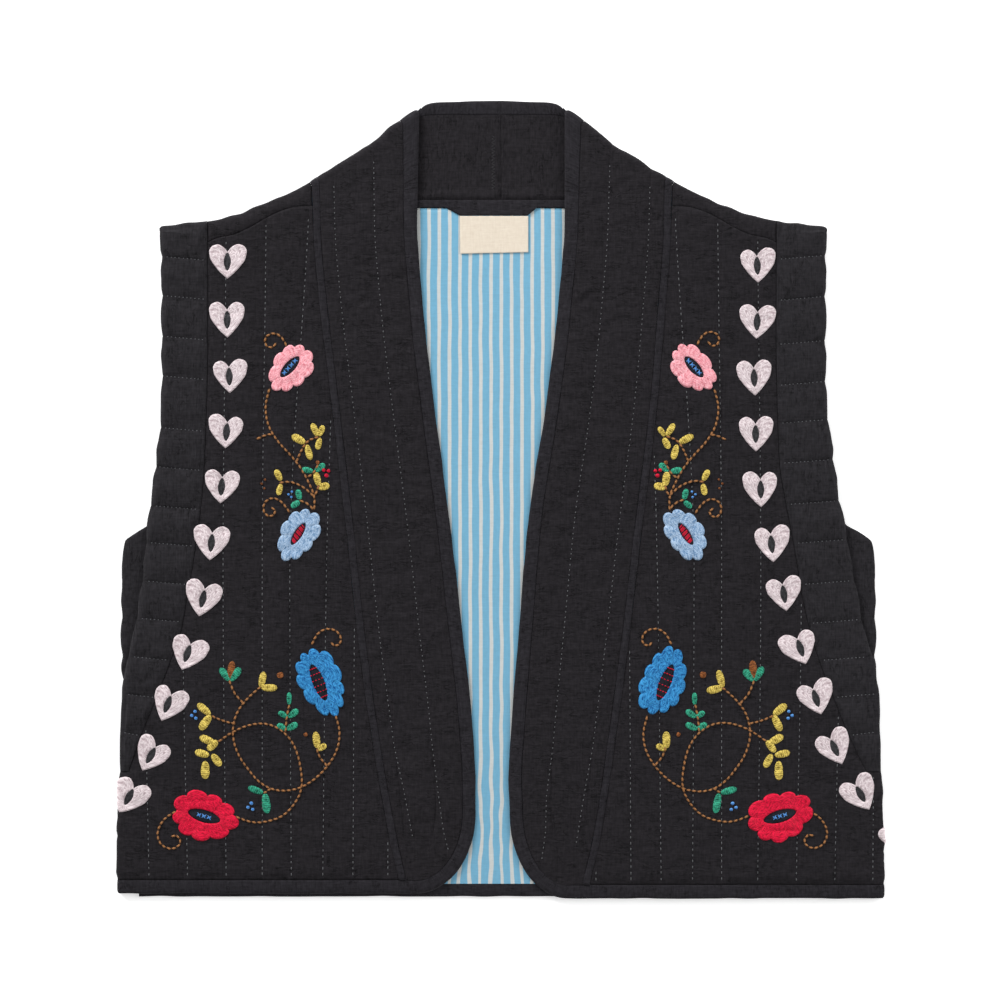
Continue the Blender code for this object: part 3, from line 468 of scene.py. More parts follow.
def clothPiece(name, patches, material, *nodes):
    outer, inner, flat, faces, base = [], [], [], [], 0
    for part in patches:
        rows, columns = part["outer"].shape[:2]
        index = base + np.arange(rows * columns).reshape(rows, columns)
        quads = np.stack((index[:-1, :-1], index[:-1, 1:], index[1:, 1:], index[1:, :-1]), -1)
        quads = quads.reshape(-1, 4)
        out = part["outer"].reshape(-1, 3)
        across = out - part["inner"].reshape(-1, 3)
        a, b, d = (out[quads[:, i] - base] for i in (0, 1, 3))
        facing = (np.cross(b - a, d - a) * across[quads[:, 0] - base]).sum()
        faces.append(quads if facing > 0 else quads[:, ::-1])
        outer.append(out)
        inner.append(part["inner"].reshape(-1, 3))
        flat.append(part["flat"].reshape(-1, 2))
        base += rows * columns
    outer, inner, flat, faces = (np.concatenate(x) for x in (outer, inner, flat, faces))
    outer[:, 2], inner[:, 2] = np.maximum(outer[:, 2], 0.0), np.maximum(inner[:, 2], 0.0)
    keys = np.round(np.concatenate((outer, inner), 1) * 2e5 + 0.37).astype(np.int64)
    _, first, same = np.unique(keys, axis=0, return_index=True, return_inverse=True)
    faces = same.reshape(-1)[faces]
    outer, inner, flat = outer[first], inner[first], flat[first]
    count = len(outer)
    edges = np.concatenate([faces[:, [i, (i + 1) % 4]] for i in range(4)])
    codes, backwards = edges[:, 0] * count + edges[:, 1], edges[:, 1] * count + edges[:, 0]
    rim = edges[~np.isin(codes, backwards)]
    rimFaces = np.stack((rim[:, 1], rim[:, 0], rim[:, 0] + count, rim[:, 1] + count), -1)
    allFaces = np.concatenate((faces, faces[:, ::-1] + count, rimFaces))
    mesh = bpy.data.meshes.new(name)
    fillMesh(mesh, np.concatenate((outer, inner)), allFaces, np.concatenate((flat, flat)))
    return newPiece(name, mesh, material, *nodes)


# each piece's cut, measured on the flat pattern

def between(low, high, inner, outer):  # area of the pattern between two edges
    height = np.linspace(low, high, 240)
    width = outer(height) - inner(height)
    return float(((width[1:] + width[:-1]) / 2 * np.diff(height)).sum())


# materials

def nodeTools(tree):
    def add(kind, **values):
        node = tree.nodes.new(kind)
        for key, value in values.items():
            setattr(node, key, value)
        return node

    def link(source, target):
        tree.links.new(source, target)

    def maths(operation, a, b=None, c=None, clamp=False):
        node = add("ShaderNodeMath", operation=operation, use_clamp=clamp)
        for slot, value in enumerate((a, b, c)):
            if value is None:
                continue
            if isinstance(value, (int, float)):
                node.inputs[slot].default_value = value
            else:
                link(value, node.inputs[slot])
        return node.outputs[0]

    return add, link, maths


def effectGroup(name, vector, inputs, outputs):  # one vector in, and numbers with their usual values
    group = bpy.data.node_groups.new(name, "ShaderNodeTree")
    group.interface.new_socket(name=vector, in_out="INPUT", socket_type="NodeSocketVector")
    for label, value in inputs.items():
        made = group.interface.new_socket(name=label, in_out="INPUT", socket_type="NodeSocketFloat")
        made.default_value = value
    for label in outputs:
        group.interface.new_socket(name=label, in_out="OUTPUT", socket_type="NodeSocketFloat")
    add, link, maths = nodeTools(group)
    return group, add("NodeGroupInput"), add("NodeGroupOutput"), add, link, maths


def addNoise(add, link, vector, scale, detail=2.0, roughness=0.5, distortion=0.0):
    noise = add("ShaderNodeTexNoise")
    labels = ("Scale", "Detail", "Roughness", "Distortion")
    for label, value in zip(labels, (scale, detail, roughness, distortion)):
        noise.inputs[label].default_value = value
    link(vector, noise.inputs["Vector"])
    return noise.outputs["Fac"]


def addRamp(add, link, value, fromMin, fromMax, toMin=0.0, toMax=1.0):
    ramp = add("ShaderNodeMapRange")
    labels = ("From Min", "From Max", "To Min", "To Max")
    for label, number in zip(labels, (fromMin, fromMax, toMin, toMax)):
        ramp.inputs[label].default_value = number
    link(value, ramp.inputs["Value"])
    return ramp.outputs["Result"]


def addVector(add, link, operation, *values):  # each value is an output, or three numbers
    node = add("ShaderNodeVectorMath", operation=operation)
    for slot, value in enumerate(values):
        if isinstance(value, tuple):
            node.inputs[slot].default_value = value
        else:
            link(value, node.inputs[slot])
    return node.outputs[0]


def addSplit(add, link, vector):
    split = add("ShaderNodeSeparateXYZ")
    link(vector, split.inputs[0])
    return split.outputs


def makeSlubWeave():  # plain weave with thick and thin yarns, in cloth millimetres
    group, given, out, add, link, maths = effectGroup(
        "slubWeave", "Cloth", {"Yarn": 0.55, "Slub": 0.6}, ("Height", "Tone")
    )
    cloth = given.outputs["Cloth"]
    split = addSplit(add, link, cloth)
    turns = maths("DIVIDE", math.pi, given.outputs["Yarn"])
    warp, weft = (maths("SINE", maths("MULTIPLY", split[axis], turns)) for axis in ("X", "Y"))
    weave = maths("MULTIPLY_ADD", maths("MULTIPLY", warp, weft), 0.5, 0.5)
    acrossYarn, alongYarn = (
        addNoise(add, link, addVector(add, link, "MULTIPLY", cloth, scale), 1.0, 4.0, 0.65)
        for scale in ((0.11, 0.95, 1.0), (0.9, 0.09, 1.0))
    )
    blotch = addNoise(add, link, cloth, 0.35, 3.0)
    slub = maths("ADD", maths("MULTIPLY", acrossYarn, 0.4), maths("MULTIPLY", alongYarn, 0.35))
    slub = maths("ADD", slub, maths("MULTIPLY", blotch, 0.25))
    height = add("ShaderNodeMix", data_type="FLOAT")
    link(given.outputs["Slub"], height.inputs["Factor"])
    link(weave, height.inputs["A"])
    link(slub, height.inputs["B"])
    link(height.outputs["Result"], out.inputs["Height"])
    tone = maths("MULTIPLY_ADD", maths("SUBTRACT", slub, 0.5), 3.0, 0.5, clamp=True)
    link(tone, out.inputs["Tone"])
    return group


def makeThreadLie():  # rows of thread: across them is x, along them y, in piece millimetres
    group, given, out, add, link, maths = effectGroup(
        "threadLie", "Stitch", {"Row": 1.4, "Length": 2.6, "RowTone": 0.2}, ("Height", "Tone")
    )
    stitch = given.outputs["Stitch"]
    split = addSplit(add, link, stitch)
    jitter = addNoise(add, link, stitch, 0.42)

    def ripple(along, shift, period):
        bent = maths("ADD", along, maths("MULTIPLY", jitter, shift))
        return maths("SINE", maths("DIVIDE", maths("MULTIPLY", bent, 2 * math.pi), given.outputs[period]))

    rows, ends = ripple(split["X"], 1.6, "Row"), ripple(split["Y"], 4.0, "Length")
    bundles = add("ShaderNodeTexVoronoi")  # the strokes of each small bundle of threads lie their own way
    bundles.inputs["Scale"].default_value = 0.2
    link(stitch, bundles.inputs["Vector"])
    turn = add("ShaderNodeVectorRotate", rotation_type="Z_AXIS")
    link(addVector(add, link, "SUBTRACT", stitch, bundles.outputs["Position"]), turn.inputs["Vector"])
    link(maths("MULTIPLY", maths("SUBTRACT", bundles.outputs["Color"], 0.5), 5.0), turn.inputs["Angle"])
    far = (40.0, 40.0, 40.0)
    apart = addVector(add, link, "MULTIPLY_ADD", bundles.outputs["Color"], far, turn.outputs[0])
    speck = addNoise(add, link, addVector(add, link, "MULTIPLY", apart, (0.95, 0.32, 1.0)), 1.0)
    height = maths("ADD", maths("MULTIPLY", rows, 0.3), maths("MULTIPLY", ends, 0.12))
    height = maths("ADD", height, maths("MULTIPLY", speck, 1.3))
    link(maths("MULTIPLY", height, 0.6), out.inputs["Height"])
    fleck = maths("MULTIPLY_ADD", maths("SUBTRACT", speck, 0.5), 3.1, 0.55)
    # each row of thread is painted lighter along its middle and darker between rows: painted highlight and
    # painted shade
    rowShade = maths("MULTIPLY", rows, given.outputs["RowTone"])
    link(maths("ADD", fleck, rowShade, clamp=True), out.inputs["Tone"])
    return group


def makeClothCrinkle():  # short fine creases that lie across the channels, in cloth millimetres
    group, given, out, add, link, maths = effectGroup(
        "clothCrinkle", "Cloth", {"Long": 11.0, "Fine": 4.0}, ("Height", "CreaseShade")
    )
    split = addSplit(add, link, given.outputs["Cloth"])
    joined = add("ShaderNodeCombineXYZ")
    for axis, size in (("X", "Long"), ("Y", "Fine")):
        link(maths("DIVIDE", split[axis], given.outputs[size]), joined.inputs[axis])
    swell = addNoise(add, link, joined.outputs[0], 1.0, 3.0, distortion=0.5)
    patchy = addNoise(add, link, given.outputs["Cloth"], 0.07)
    off = maths("ABSOLUTE", maths("SUBTRACT", swell, 0.5))
    line = maths("SUBTRACT", 1.0, maths("DIVIDE", off, 0.035), clamp=True)
    here = maths("MULTIPLY", maths("SUBTRACT", patchy, 0.44), 7.0, clamp=True)
    crease = maths("MULTIPLY", line, here)
    # the crease lines also go out on their own, to paint the colour darker there: painted shade in the
    # creases
    link(crease, out.inputs["CreaseShade"])
    link(maths("SUBTRACT", swell, maths("MULTIPLY", crease, 0.35)), out.inputs["Height"])
    return group


slubWeave = makeSlubWeave()
clothCrinkle = makeClothCrinkle()
threadLie = makeThreadLie()


def srgb(red, green, blue):  # a colour as seen on screen, 0 to 255
    def one(value):
        value /= 255
        return value / 12.92 if value <= 0.04045 else ((value + 0.055) / 1.055) ** 2.4

    return (one(red), one(green), one(blue), 1.0)


def startMaterial(name, roughness, sheen):
    made = bpy.data.materials.new(name)
    made.use_nodes = True
    shader = made.node_tree.nodes["Principled BSDF"]
    shader.inputs["Roughness"].default_value = roughness
    shader.inputs["Specular IOR Level"].default_value = 0.25
    shader.inputs["Sheen Weight"].default_value = sheen
    shader.inputs["Sheen Roughness"].default_value = 0.5
    return (made, shader) + nodeTools(made.node_tree)


def clothCoordinate(add, link):  # millimetres on the flat cloth
    place = add("ShaderNodeUVMap", uv_map="cloth")
    stretch = add("ShaderNodeVectorMath", operation="SCALE")
    stretch.inputs["Scale"].default_value = 1 / mm
    link(place.outputs[0], stretch.inputs[0])
    return stretch.outputs[0]


def placeGroup(add, link, group, vector, **values):
    node = add("ShaderNodeGroup", node_tree=group)
    link(vector, node.inputs[0])
    for label, value in values.items():
        node.inputs[label].default_value = value
    return node


def bumpInto(add, link, shader, height, strength, distance):
    bump = add("ShaderNodeBump")
    bump.inputs["Strength"].default_value = strength
    bump.inputs["Distance"].default_value = distance * mm
    link(height, bump.inputs["Height"])
    link(bump.outputs[0], shader.inputs["Normal"])


def twoColours(add, link, factor, dark, light):
    blend = add("ShaderNodeMix", data_type="RGBA")
    link(factor, blend.inputs["Factor"])
    blend.inputs["A"].default_value = dark
    blend.inputs["B"].default_value = light
    return blend.outputs["Result"]


def darkCotton(name, dark, light, yarn, slub, strength):
    made, shader, add, link, maths = startMaterial(name, 0.9, 0.03)
    shader.inputs["Specular IOR Level"].default_value = 0.12
    cloth = clothCoordinate(add, link)
    weave = placeGroup(add, link, slubWeave, cloth, Yarn=yarn, Slub=slub)
    folds = placeGroup(add, link, clothCrinkle, cloth, Long=11.0, Fine=4.0)
    tone = maths("MULTIPLY_ADD", weave.outputs["Tone"], 0.9, 0.05)
    # painted shade: the colour is darker along the crease lines
    tone = maths("SUBTRACT", tone, maths("MULTIPLY", folds.outputs["CreaseShade"], 0.3), clamp=True)
    link(twoColours(add, link, tone, dark, light), shader.inputs["Base Color"])
    height = maths("ADD", weave.outputs["Height"], maths("MULTIPLY", folds.outputs["Height"], 2.6))
    bumpInto(add, link, shader, height, strength, 0.35)
    return made


quiltedCotton = darkCotton("quiltedCotton", srgb(13, 12, 14), srgb(47, 44, 48), 0.55, 0.62, 0.75)
# the fronts' cotton, painted a little lighter for the armhole bands: painted light
bandCotton = darkCotton("bandCotton", srgb(16, 15, 17), srgb(52, 50, 54), 0.55, 0.62, 0.75)
bindingCotton = darkCotton("bindingCotton", srgb(17, 15, 18), srgb(52, 50, 55), 0.5, 0.5, 0.7)

# the stripes bend where the lining is drawn in above the hem, more and more between the two heights
stripes = {
    "repeat": 7.66, "creamWidth": 2.6, "creamCentre": -7.4, "softness": 0.025,
    "blue": srgb(122, 182, 212), "cream": srgb(212, 216, 214),
    "sway": 1.4, "drawnIn": 7.0, "drawnInFrom": 150.0, "drawnInTo": 50.0,
}


def makeStripedLining():
    made, shader, add, link, maths = startMaterial("stripedLining", 0.85, 0.1)
    cloth = clothCoordinate(add, link)
    weave = placeGroup(add, link, slubWeave, cloth, Yarn=0.35, Slub=0.5)
    split = addSplit(add, link, cloth)
    wobble = addNoise(add, link, cloth, 0.03, 1.0)
    drawnIn = addNoise(add, link, addVector(add, link, "MULTIPLY", cloth, (1.0, 0.42, 1.0)), 0.07, 1.2)
    nearHem = stripes["drawnInFrom"], stripes["drawnInTo"]
    bend = addRamp(add, link, split["Y"], *nearHem, 1.0, stripes["drawnIn"])
    shift = maths("MULTIPLY", maths("SUBTRACT", drawnIn, 0.5), bend)
    shift = maths("ADD", shift, maths("MULTIPLY", maths("SUBTRACT", wobble, 0.5), stripes["sway"]))
    x = maths("ADD", split["X"], shift)
    x = maths("DIVIDE", maths("SUBTRACT", x, stripes["creamCentre"]), stripes["repeat"])
    off = maths("ABSOLUTE", maths("SUBTRACT", maths("FRACT", maths("ADD", x, 0.5)), 0.5))
    half, soft = stripes["creamWidth"] / stripes["repeat"] / 2, stripes["softness"]
    inBlue = addRamp(add, link, off, half - soft, half + soft)
    colour = twoColours(add, link, inBlue, stripes["cream"], stripes["blue"])
    shade = add("ShaderNodeMix", data_type="RGBA", blend_type="MULTIPLY")
    shade.inputs["Factor"].default_value = 1.0
    link(colour, shade.inputs["A"])
    link(twoColours(add, link, weave.outputs["Tone"], (0.8, 0.81, 0.82, 1), (1, 1, 1, 1)), shade.inputs["B"])
    link(shade.outputs["Result"], shader.inputs["Base Color"])
    bumpInto(add, link, shader, weave.outputs["Height"], 0.35, 0.2)
    return made


stripedLining = makeStripedLining()


def makeLabelCotton():
    made, shader, add, link, maths = startMaterial("labelCotton", 0.7, 0.1)
    cloth = clothCoordinate(add, link)
    weave = placeGroup(add, link, slubWeave, cloth, Yarn=0.28, Slub=0.2)
    colour = twoColours(add, link, weave.outputs["Tone"], srgb(219, 205, 186), srgb(236, 225, 208))
    link(colour, shader.inputs["Base Color"])
    bumpInto(add, link, shader, weave.outputs["Height"], 0.3, 0.15)
    return made


labelCotton = makeLabelCotton()


def embroideryThread(name, dark, light, strength=0.8, row=1.45, rowShade=0.12):
    made, shader, add, link, maths = startMaterial(name, 0.6, 0.05)
    shader.inputs["Specular IOR Level"].default_value = 0.2
    stitch = clothCoordinate(add, link)
    # how much the rows of thread are painted lighter on top and darker between them: painted highlight and
    # painted shade
    lie = placeGroup(add, link, threadLie, stitch, Row=row, Length=2.6, RowTone=rowShade)
    link(twoColours(add, link, lie.outputs["Tone"], dark, light), shader.inputs["Base Color"])
    bumpInto(add, link, shader, lie.outputs["Height"], strength, 0.35)
    return made


threads = {
    "blush": embroideryThread("blushThread", srgb(182, 162, 167), srgb(240, 228, 230), 0.6, 1.0, 0.08),
    "pink": embroideryThread("pinkThread", srgb(220, 126, 138), srgb(255, 188, 197)),
    "sky": embroideryThread("skyThread", srgb(94, 132, 172), srgb(176, 200, 226)),
    "blue": embroideryThread("blueThread", srgb(2, 78, 140), srgb(62, 156, 218)),
    "crimson": embroideryThread("crimsonThread", srgb(166, 0, 36), srgb(240, 16, 64)),
    "yellow": embroideryThread("yellowThread", srgb(126, 104, 34), srgb(240, 214, 106), 0.8, 1.5, 0.3),
    "green": embroideryThread("greenThread", srgb(5, 74, 60), srgb(58, 176, 140), 0.8, 1.5, 0.3),
    "brown": embroideryThread("brownThread", srgb(74, 36, 12), srgb(156, 92, 44), 0.8, 1.5, 0.3),
    "dusk": embroideryThread("duskThread", srgb(20, 20, 22), srgb(56, 56, 59), 0.5, 1.2, 0.15),
    "night": embroideryThread("nightThread", srgb(6, 7, 14), srgb(28, 30, 42), 0.5, 1.2, 0.15),
    "azure": embroideryThread("azureThread", srgb(58, 116, 188), srgb(112, 176, 236), 0.5, 1.2, 0.1),
}


def makeRunningThread(name, dark, light):
    made, shader, add, link, maths = startMaterial(name, 0.6, 0.04)
    uneven = addNoise(add, link, clothCoordinate(add, link), 0.3)
    link(twoColours(add, link, uneven, dark, light), shader.inputs["Base Color"])
    return made


def makeVineThread():  # twisted two-tone thread, light in the middle of each stitch; it is painted darker where it goes down into the cloth, as painted shade
    made, shader, add, link, maths = startMaterial("vineThread", 0.6, 0.04)
    split = addSplit(add, link, clothCoordinate(add, link))
    # darker towards both ends of each stitch: painted shade where it goes down into the cloth
    ends = addRamp(add, link, maths("MULTIPLY", maths("ABSOLUTE", split["X"]), 2.0), 0.22, 0.68)
    twist = maths("ADD", maths("MULTIPLY", split["X"], 16.0), maths("MULTIPLY", split["Y"], 6.0))
    twist = maths("SINE", twist)
    share = maths("MULTIPLY_ADD", twist, 0.5, 0.5)
    lighter = twoColours(add, link, share, srgb(114, 70, 36), srgb(192, 134, 80))
    blend = add("ShaderNodeMix", data_type="RGBA")
    link(ends, blend.inputs["Factor"])
    link(lighter, blend.inputs["A"])
    # the painted shade colour at the stitch ends
    blend.inputs["B"].default_value = srgb(58, 35, 16)
    link(blend.outputs["Result"], shader.inputs["Base Color"])
    bumpInto(add, link, shader, twist, 0.4, 0.12)
    return made


runningThread = makeRunningThread("runningThread", srgb(52, 54, 56), srgb(134, 136, 138))
dimThread = makeRunningThread("dimThread", srgb(40, 41, 44), srgb(132, 134, 138))
duskRunning = makeRunningThread("duskRunning", srgb(38, 37, 40), srgb(56, 55, 58))
vineThread = makeVineThread()
print("materials made")

# the cloth pieces

fine = {"across": 1.4, "along": 1.9, "channel": 10, "fold": 9, "lining": 4.5, "back": 7.0}


def frontColumns(side, height, inner, outer):  # columns that run along the lines of stitches
    inner, outer, height = np.broadcast_arrays(inner, outer, height)
    edges = [inner] + [line(height) for line in quiltLines] + [outer]
    last = len(edges) - 1
    edges = [np.clip(edge, inner + 0.02 * i, outer - 0.02 * (last - i)) for i, edge in enumerate(edges)]
    parts = [clustered(low, high, fine["channel"])[:, :-1] for low, high in zip(edges, edges[1:])]
    return np.concatenate(parts + [outer], axis=1)


def makeFront(side):
    hem = vest["frontHem"][side] + vest["bindingWidth"] + vest["gap"]
    wall, underarm = vest["shellWall"], vest["underarm"]

    def sheetOf(reach, height):
        points = frontPoints(side, reach, height, wall, frontLift(side, reach, height))
        return patch(points, sign[side] * reach, height)

    height = stops(hem, underarm, fine["along"])[:, None]
    start = sideStart(side, height, wall)
    knee = start - (sideStart(side, underarm, wall) - armholeSeam[side](underarm))
    reach = frontColumns(side, height, tapeOutside(side, height), knee)
    patches = [sheetOf(reach, height + 0 * reach)]
    end = start + foldLength(height) + vest["underWidth"]
    reach = mix(knee, end, stops(0.0, 1.0, fine["across"] / 26)[None, :])
    patches.append(sheetOf(reach, height + 0 * reach))
    level = vest["frontLevel"]
    climb = stops(underarm, level, fine["along"])[:, None]
    reach = frontColumns(side, climb, tapeOutside(side, climb), armholeSeam[side](climb))
    patches.append(sheetOf(reach, climb + 0 * reach))
    t = stops(0.0, 1.0, fine["along"] / 60)[:, None]
    innerTop = mix(level, float(shoulderSeam(vest["neckCorner"])), t)
    outerTop = mix(level, float(shoulderSeam(vest["shoulderEnd"])), t)
    climb = mix(level, vest["edgeTop"], t)
    reach = frontColumns(side, climb, tapeOutside(side, innerTop), armholeSeam[side](outerTop))
    patches.append(sheetOf(reach, mix(level, shoulderSeam(reach) - vest["gap"], t)))
    return clothPiece(f"{side}FrontCloth", patches, quiltedCotton, f"{side}_front")


def edgeRound(share, width):  # rounds a free edge over the last part of the width
    off = np.clip((share - (1 - width)) / width, 0.0, 1.0)
    return np.sqrt(np.maximum(1 - off * off, 0.02))


def bandReach(side, height, share, edge):
    low = armholeSeam[side](height) + vest["gap"]
    return mix(low, edge, share)


def overTop(side, reach, wall, lift=0.0, slim=1.0):  # round the fold at the top, and the way along it
    height, outward = topFold(side, reach, wall)
    steps = stops(0.0, 1.0, 1 / fine["fold"])[:, None]
    distance = foldLength(height) * steps
    reach, height = reach + 0 * distance, height + 0 * distance
    return folded(side, reach, height, outward, distance, wall, lift * (1 - steps), slim), distance


bandShape = {
    "width": 35.0, "behind": 340.0, "rounded": 0.09, "wrapped": 0.6, "tiltOver": 25.0,
    "opensOver": 13.0, "opensOverBehind": 8.0, "drawnIn": 1.35, "drawnInBehind": 1.2, "swayBehind": 0.6,
}


def tilted(rows, share):  # the rows climb a little from the seam to the free edge
    rows = rows[:, None]
    return rows + armhole["tilt"] * share * ease((rows - vest["underarm"] - 1) / bandShape["tiltOver"])


def edgePull(third, share, deep, sway):  # the free edge is drawn in at each line of stitches
    return (deep * (1 - np.sin(math.pi * third) ** 0.8) + sway) * ease(2 * share - 1)


def makeArmholeBand(side):
    wall, flip = vest["bandWall"], sign[side]
    crotch = float(armholeLine(side, armhole["crotchLine"]))
    share = stops(0.0, 1.0, fine["across"] / bandShape["width"])[None, :]
    slim = edgeRound(share, bandShape["rounded"])

    def frontStrip(rows, opened):
        height, opened = tilted(rows, share), opened[:, None]
        fold = sideStart(side, height, wall)
        wrapped = fold + bandShape["wrapped"] * foldLength(height) * (opened > 0)
        edge = mix(wrapped, bandEdgeFront[side](height), opened)
        reach = bandReach(side, height, share, edge)
        lift, third = armholeLift(side, reach, height, share)
        lift = lift * ease((fold + 4 - reach) / 4)
        pull = edgePull(third, share, bandShape["drawnIn"], relief["edgeSway"] * lineNoise(height, 7, 41))
        reach = reach - pull * ease((fold - edge) / 6) * opened
        points = frontPoints(side, reach, height, wall, lift, mix(1.0, slim, opened))
        return patch(points, height, flip * reach)

    lines = armholeLines[side][armhole["lastLine"]:0:-1]
    wrapping = [vest["underarm"] + vest["gap"]] + [line for line in lines if line < crotch] + [crotch]
    free = [crotch] + [line for line in lines if line > crotch + 1] + [armholeLine(side, 0.4)]
    lower, upper = (clusteredStops(edges, fine["along"]) for edges in (wrapping, free))
    opened = ease((upper - crotch) / bandShape["opensOver"])
    opened[0] = 1e-4
    patches = [frontStrip(lower, np.zeros(len(lower))), frontStrip(upper, opened)]
    height = tilted(lower, 1.0)
    fold = sideStart(side, height, wall)
    turn = fold + foldLength(height) * stops(0, 1, 1 / fine["fold"])[None, :]
    patches.append(patch(frontPoints(side, turn, height + 0 * turn, wall), height, flip * turn))
    under = stops(1.0, 0.0, fine["across"] / bandShape["width"])[None, :]
    height = tilted(lower, under)
    reach = mix(backSeam[side](height) + vest["gap"], sideStart(side, height, wall), under)
    patches.append(patch(lowerPoints(side, reach, height, wall), height, -flip * reach))
    top = upper[-1] + armhole["tilt"] * share
    edge = bandEdgeFront[side](top)
    topReach = bandReach(side, top, share, edge)
    foldHeight, _ = topFold(side, topReach, wall)
    t = stops(0.0, 1.0, 0.2)[:, None]
    height = mix(top, foldHeight, t)
    lift, third = armholeLift(side, topReach, top, share)
    pull = edgePull(third, share, bandShape["drawnIn"], relief["edgeSway"] * lineNoise(top, 7, 41))
    reach = topReach - pull * ease((sideStart(side, top, wall) - edge) / 6) * (1 - t)
    points = frontPoints(side, reach, height, wall, lift * (1 - t), slim + 0 * height)
    patches.append(patch(points, height, flip * reach))
    points, distance = overTop(side, topReach, wall, 0.0, slim)
    patches.append(patch(points, foldHeight + distance, flip * topReach))
    rows = stops(0.0, 1.0, fine["along"] / bandShape["behind"])[:, None]
    low = crotch + armhole["tilt"] * share
    height = mix(foldHeight, low, rows)
    closing = ease((height - low) / bandShape["opensOverBehind"])
    seam = backSeam[side](height) + vest["gap"]
    edge = mix(sideStart(side, height, wall), bandEdgeBack[side](height), closing)
    edge = mix(edge, topReach[:, -1:], ease((height - vest["backLevel"]) / 20))
    reach = mix(seam, edge, share)
    _, third = armholeLift(side, reach, height, share)
    sway = bandShape["swayBehind"] * lineNoise(height, 8, 42)
    pull = edgePull(third, share, bandShape["drawnInBehind"], sway)
    reach = reach - pull * closing * ease((480 - height) / 12)
    points = lowerPoints(side, reach, height, wall, 0.0, mix(1.0, slim, closing))
    patches.append(patch(points, height, -flip * reach))
    return clothPiece(f"{side}ArmholeCloth", patches, bandCotton, f"{side}_armhole_band")


def frontCorner(side, angle):
    wide = vest["cornerReach"] - frontEdge[side](vest["cornerHeight"])
    tall = vest["cornerHeight"] - vest["frontHem"][side]
    across, up = np.sin(angle), np.cos(angle)
    edge = (vest["cornerReach"] - wide * across, vest["cornerHeight"] - tall * up)
    length = np.hypot(across / wide, up / tall)
    inward = (across / wide / length, up / tall / length)
    seam = tuple(e + i * vest["bindingWidth"] for e, i in zip(edge, inward))
    return edge, seam


# round the lower corner the tape's rows climb ahead of the edge's
cornerShape = {"length": 85.0, "tapeAhead": 25.0, "evenOver": 80.0}


def edgeRows(side):  # the free edge, the binding's seam and the tape's height, from the corner to the neck
    low = vest["frontHem"][side] + vest["bindingWidth"] + vest["gap"]
    corner, ahead = vest["cornerHeight"], cornerShape["tapeAhead"]
    t = stops(0.0, 1.0, fine["along"] / cornerShape["length"])
    edge, seam = frontCorner(side, t * math.pi / 2)
    cornerTape = mix(low, corner + ahead, 0.5 * ease(t) + 0.5 * t)
    height = stops(corner, vest["edgeTop"], fine["along"])[1:]
    reach = frontEdge[side](height)
    straightTape = height + ahead * (1 - ease((height - corner) / cornerShape["evenOver"]))
    return {
        "edge": (np.append(edge[0], reach), np.append(edge[1], height)),
        "seam": (np.append(seam[0], reach + vest["bindingWidth"]), np.append(seam[1], height)),
        "tape": np.append(cornerTape, straightTape),
    }


def collarCurve(name, middle):  # reach and height along a line behind the neck, to the middle seam
    spots = collarBack[name]
    reaches = [spot[0] for spot in spots[:-1]] + [middle]
    heights = [spot[1] for spot in spots]
    way = np.arange(len(spots), dtype=float)
    return curveThrough(way, reaches), curveThrough(way, heights), way[-1]


def middleReach(side):
    return sign[side] * -vest["openingLine"] + 0.002


collarSurface = {}  # for each side: reach, height and lift of every point, so that stitches can lie on it


def slantSeam(points):  # the halves meet on a slant, so that no light comes through the seam
    points[0][-1, :, 0] -= 0.15 * mm
    points[1][-1, :, 0] += 0.15 * mm
    return points


def neckRipple(x, height):
    return 0.3 + 0.16 * softNoise(x, height, 6, 9, 51) + 0.25 * softNoise(x, height, 24, 40, 52)


collarShape = {
    "width": 62.0, "climb": 60.0, "behind": 21.0, "seamOver": 0.12, "roll": 0.94, "rollWidth": 0.045,
}


def settled(line, first, settle):  # starts where the fold ends, and comes onto its own line
    return line + (first - line[:1]) * (1 - settle)


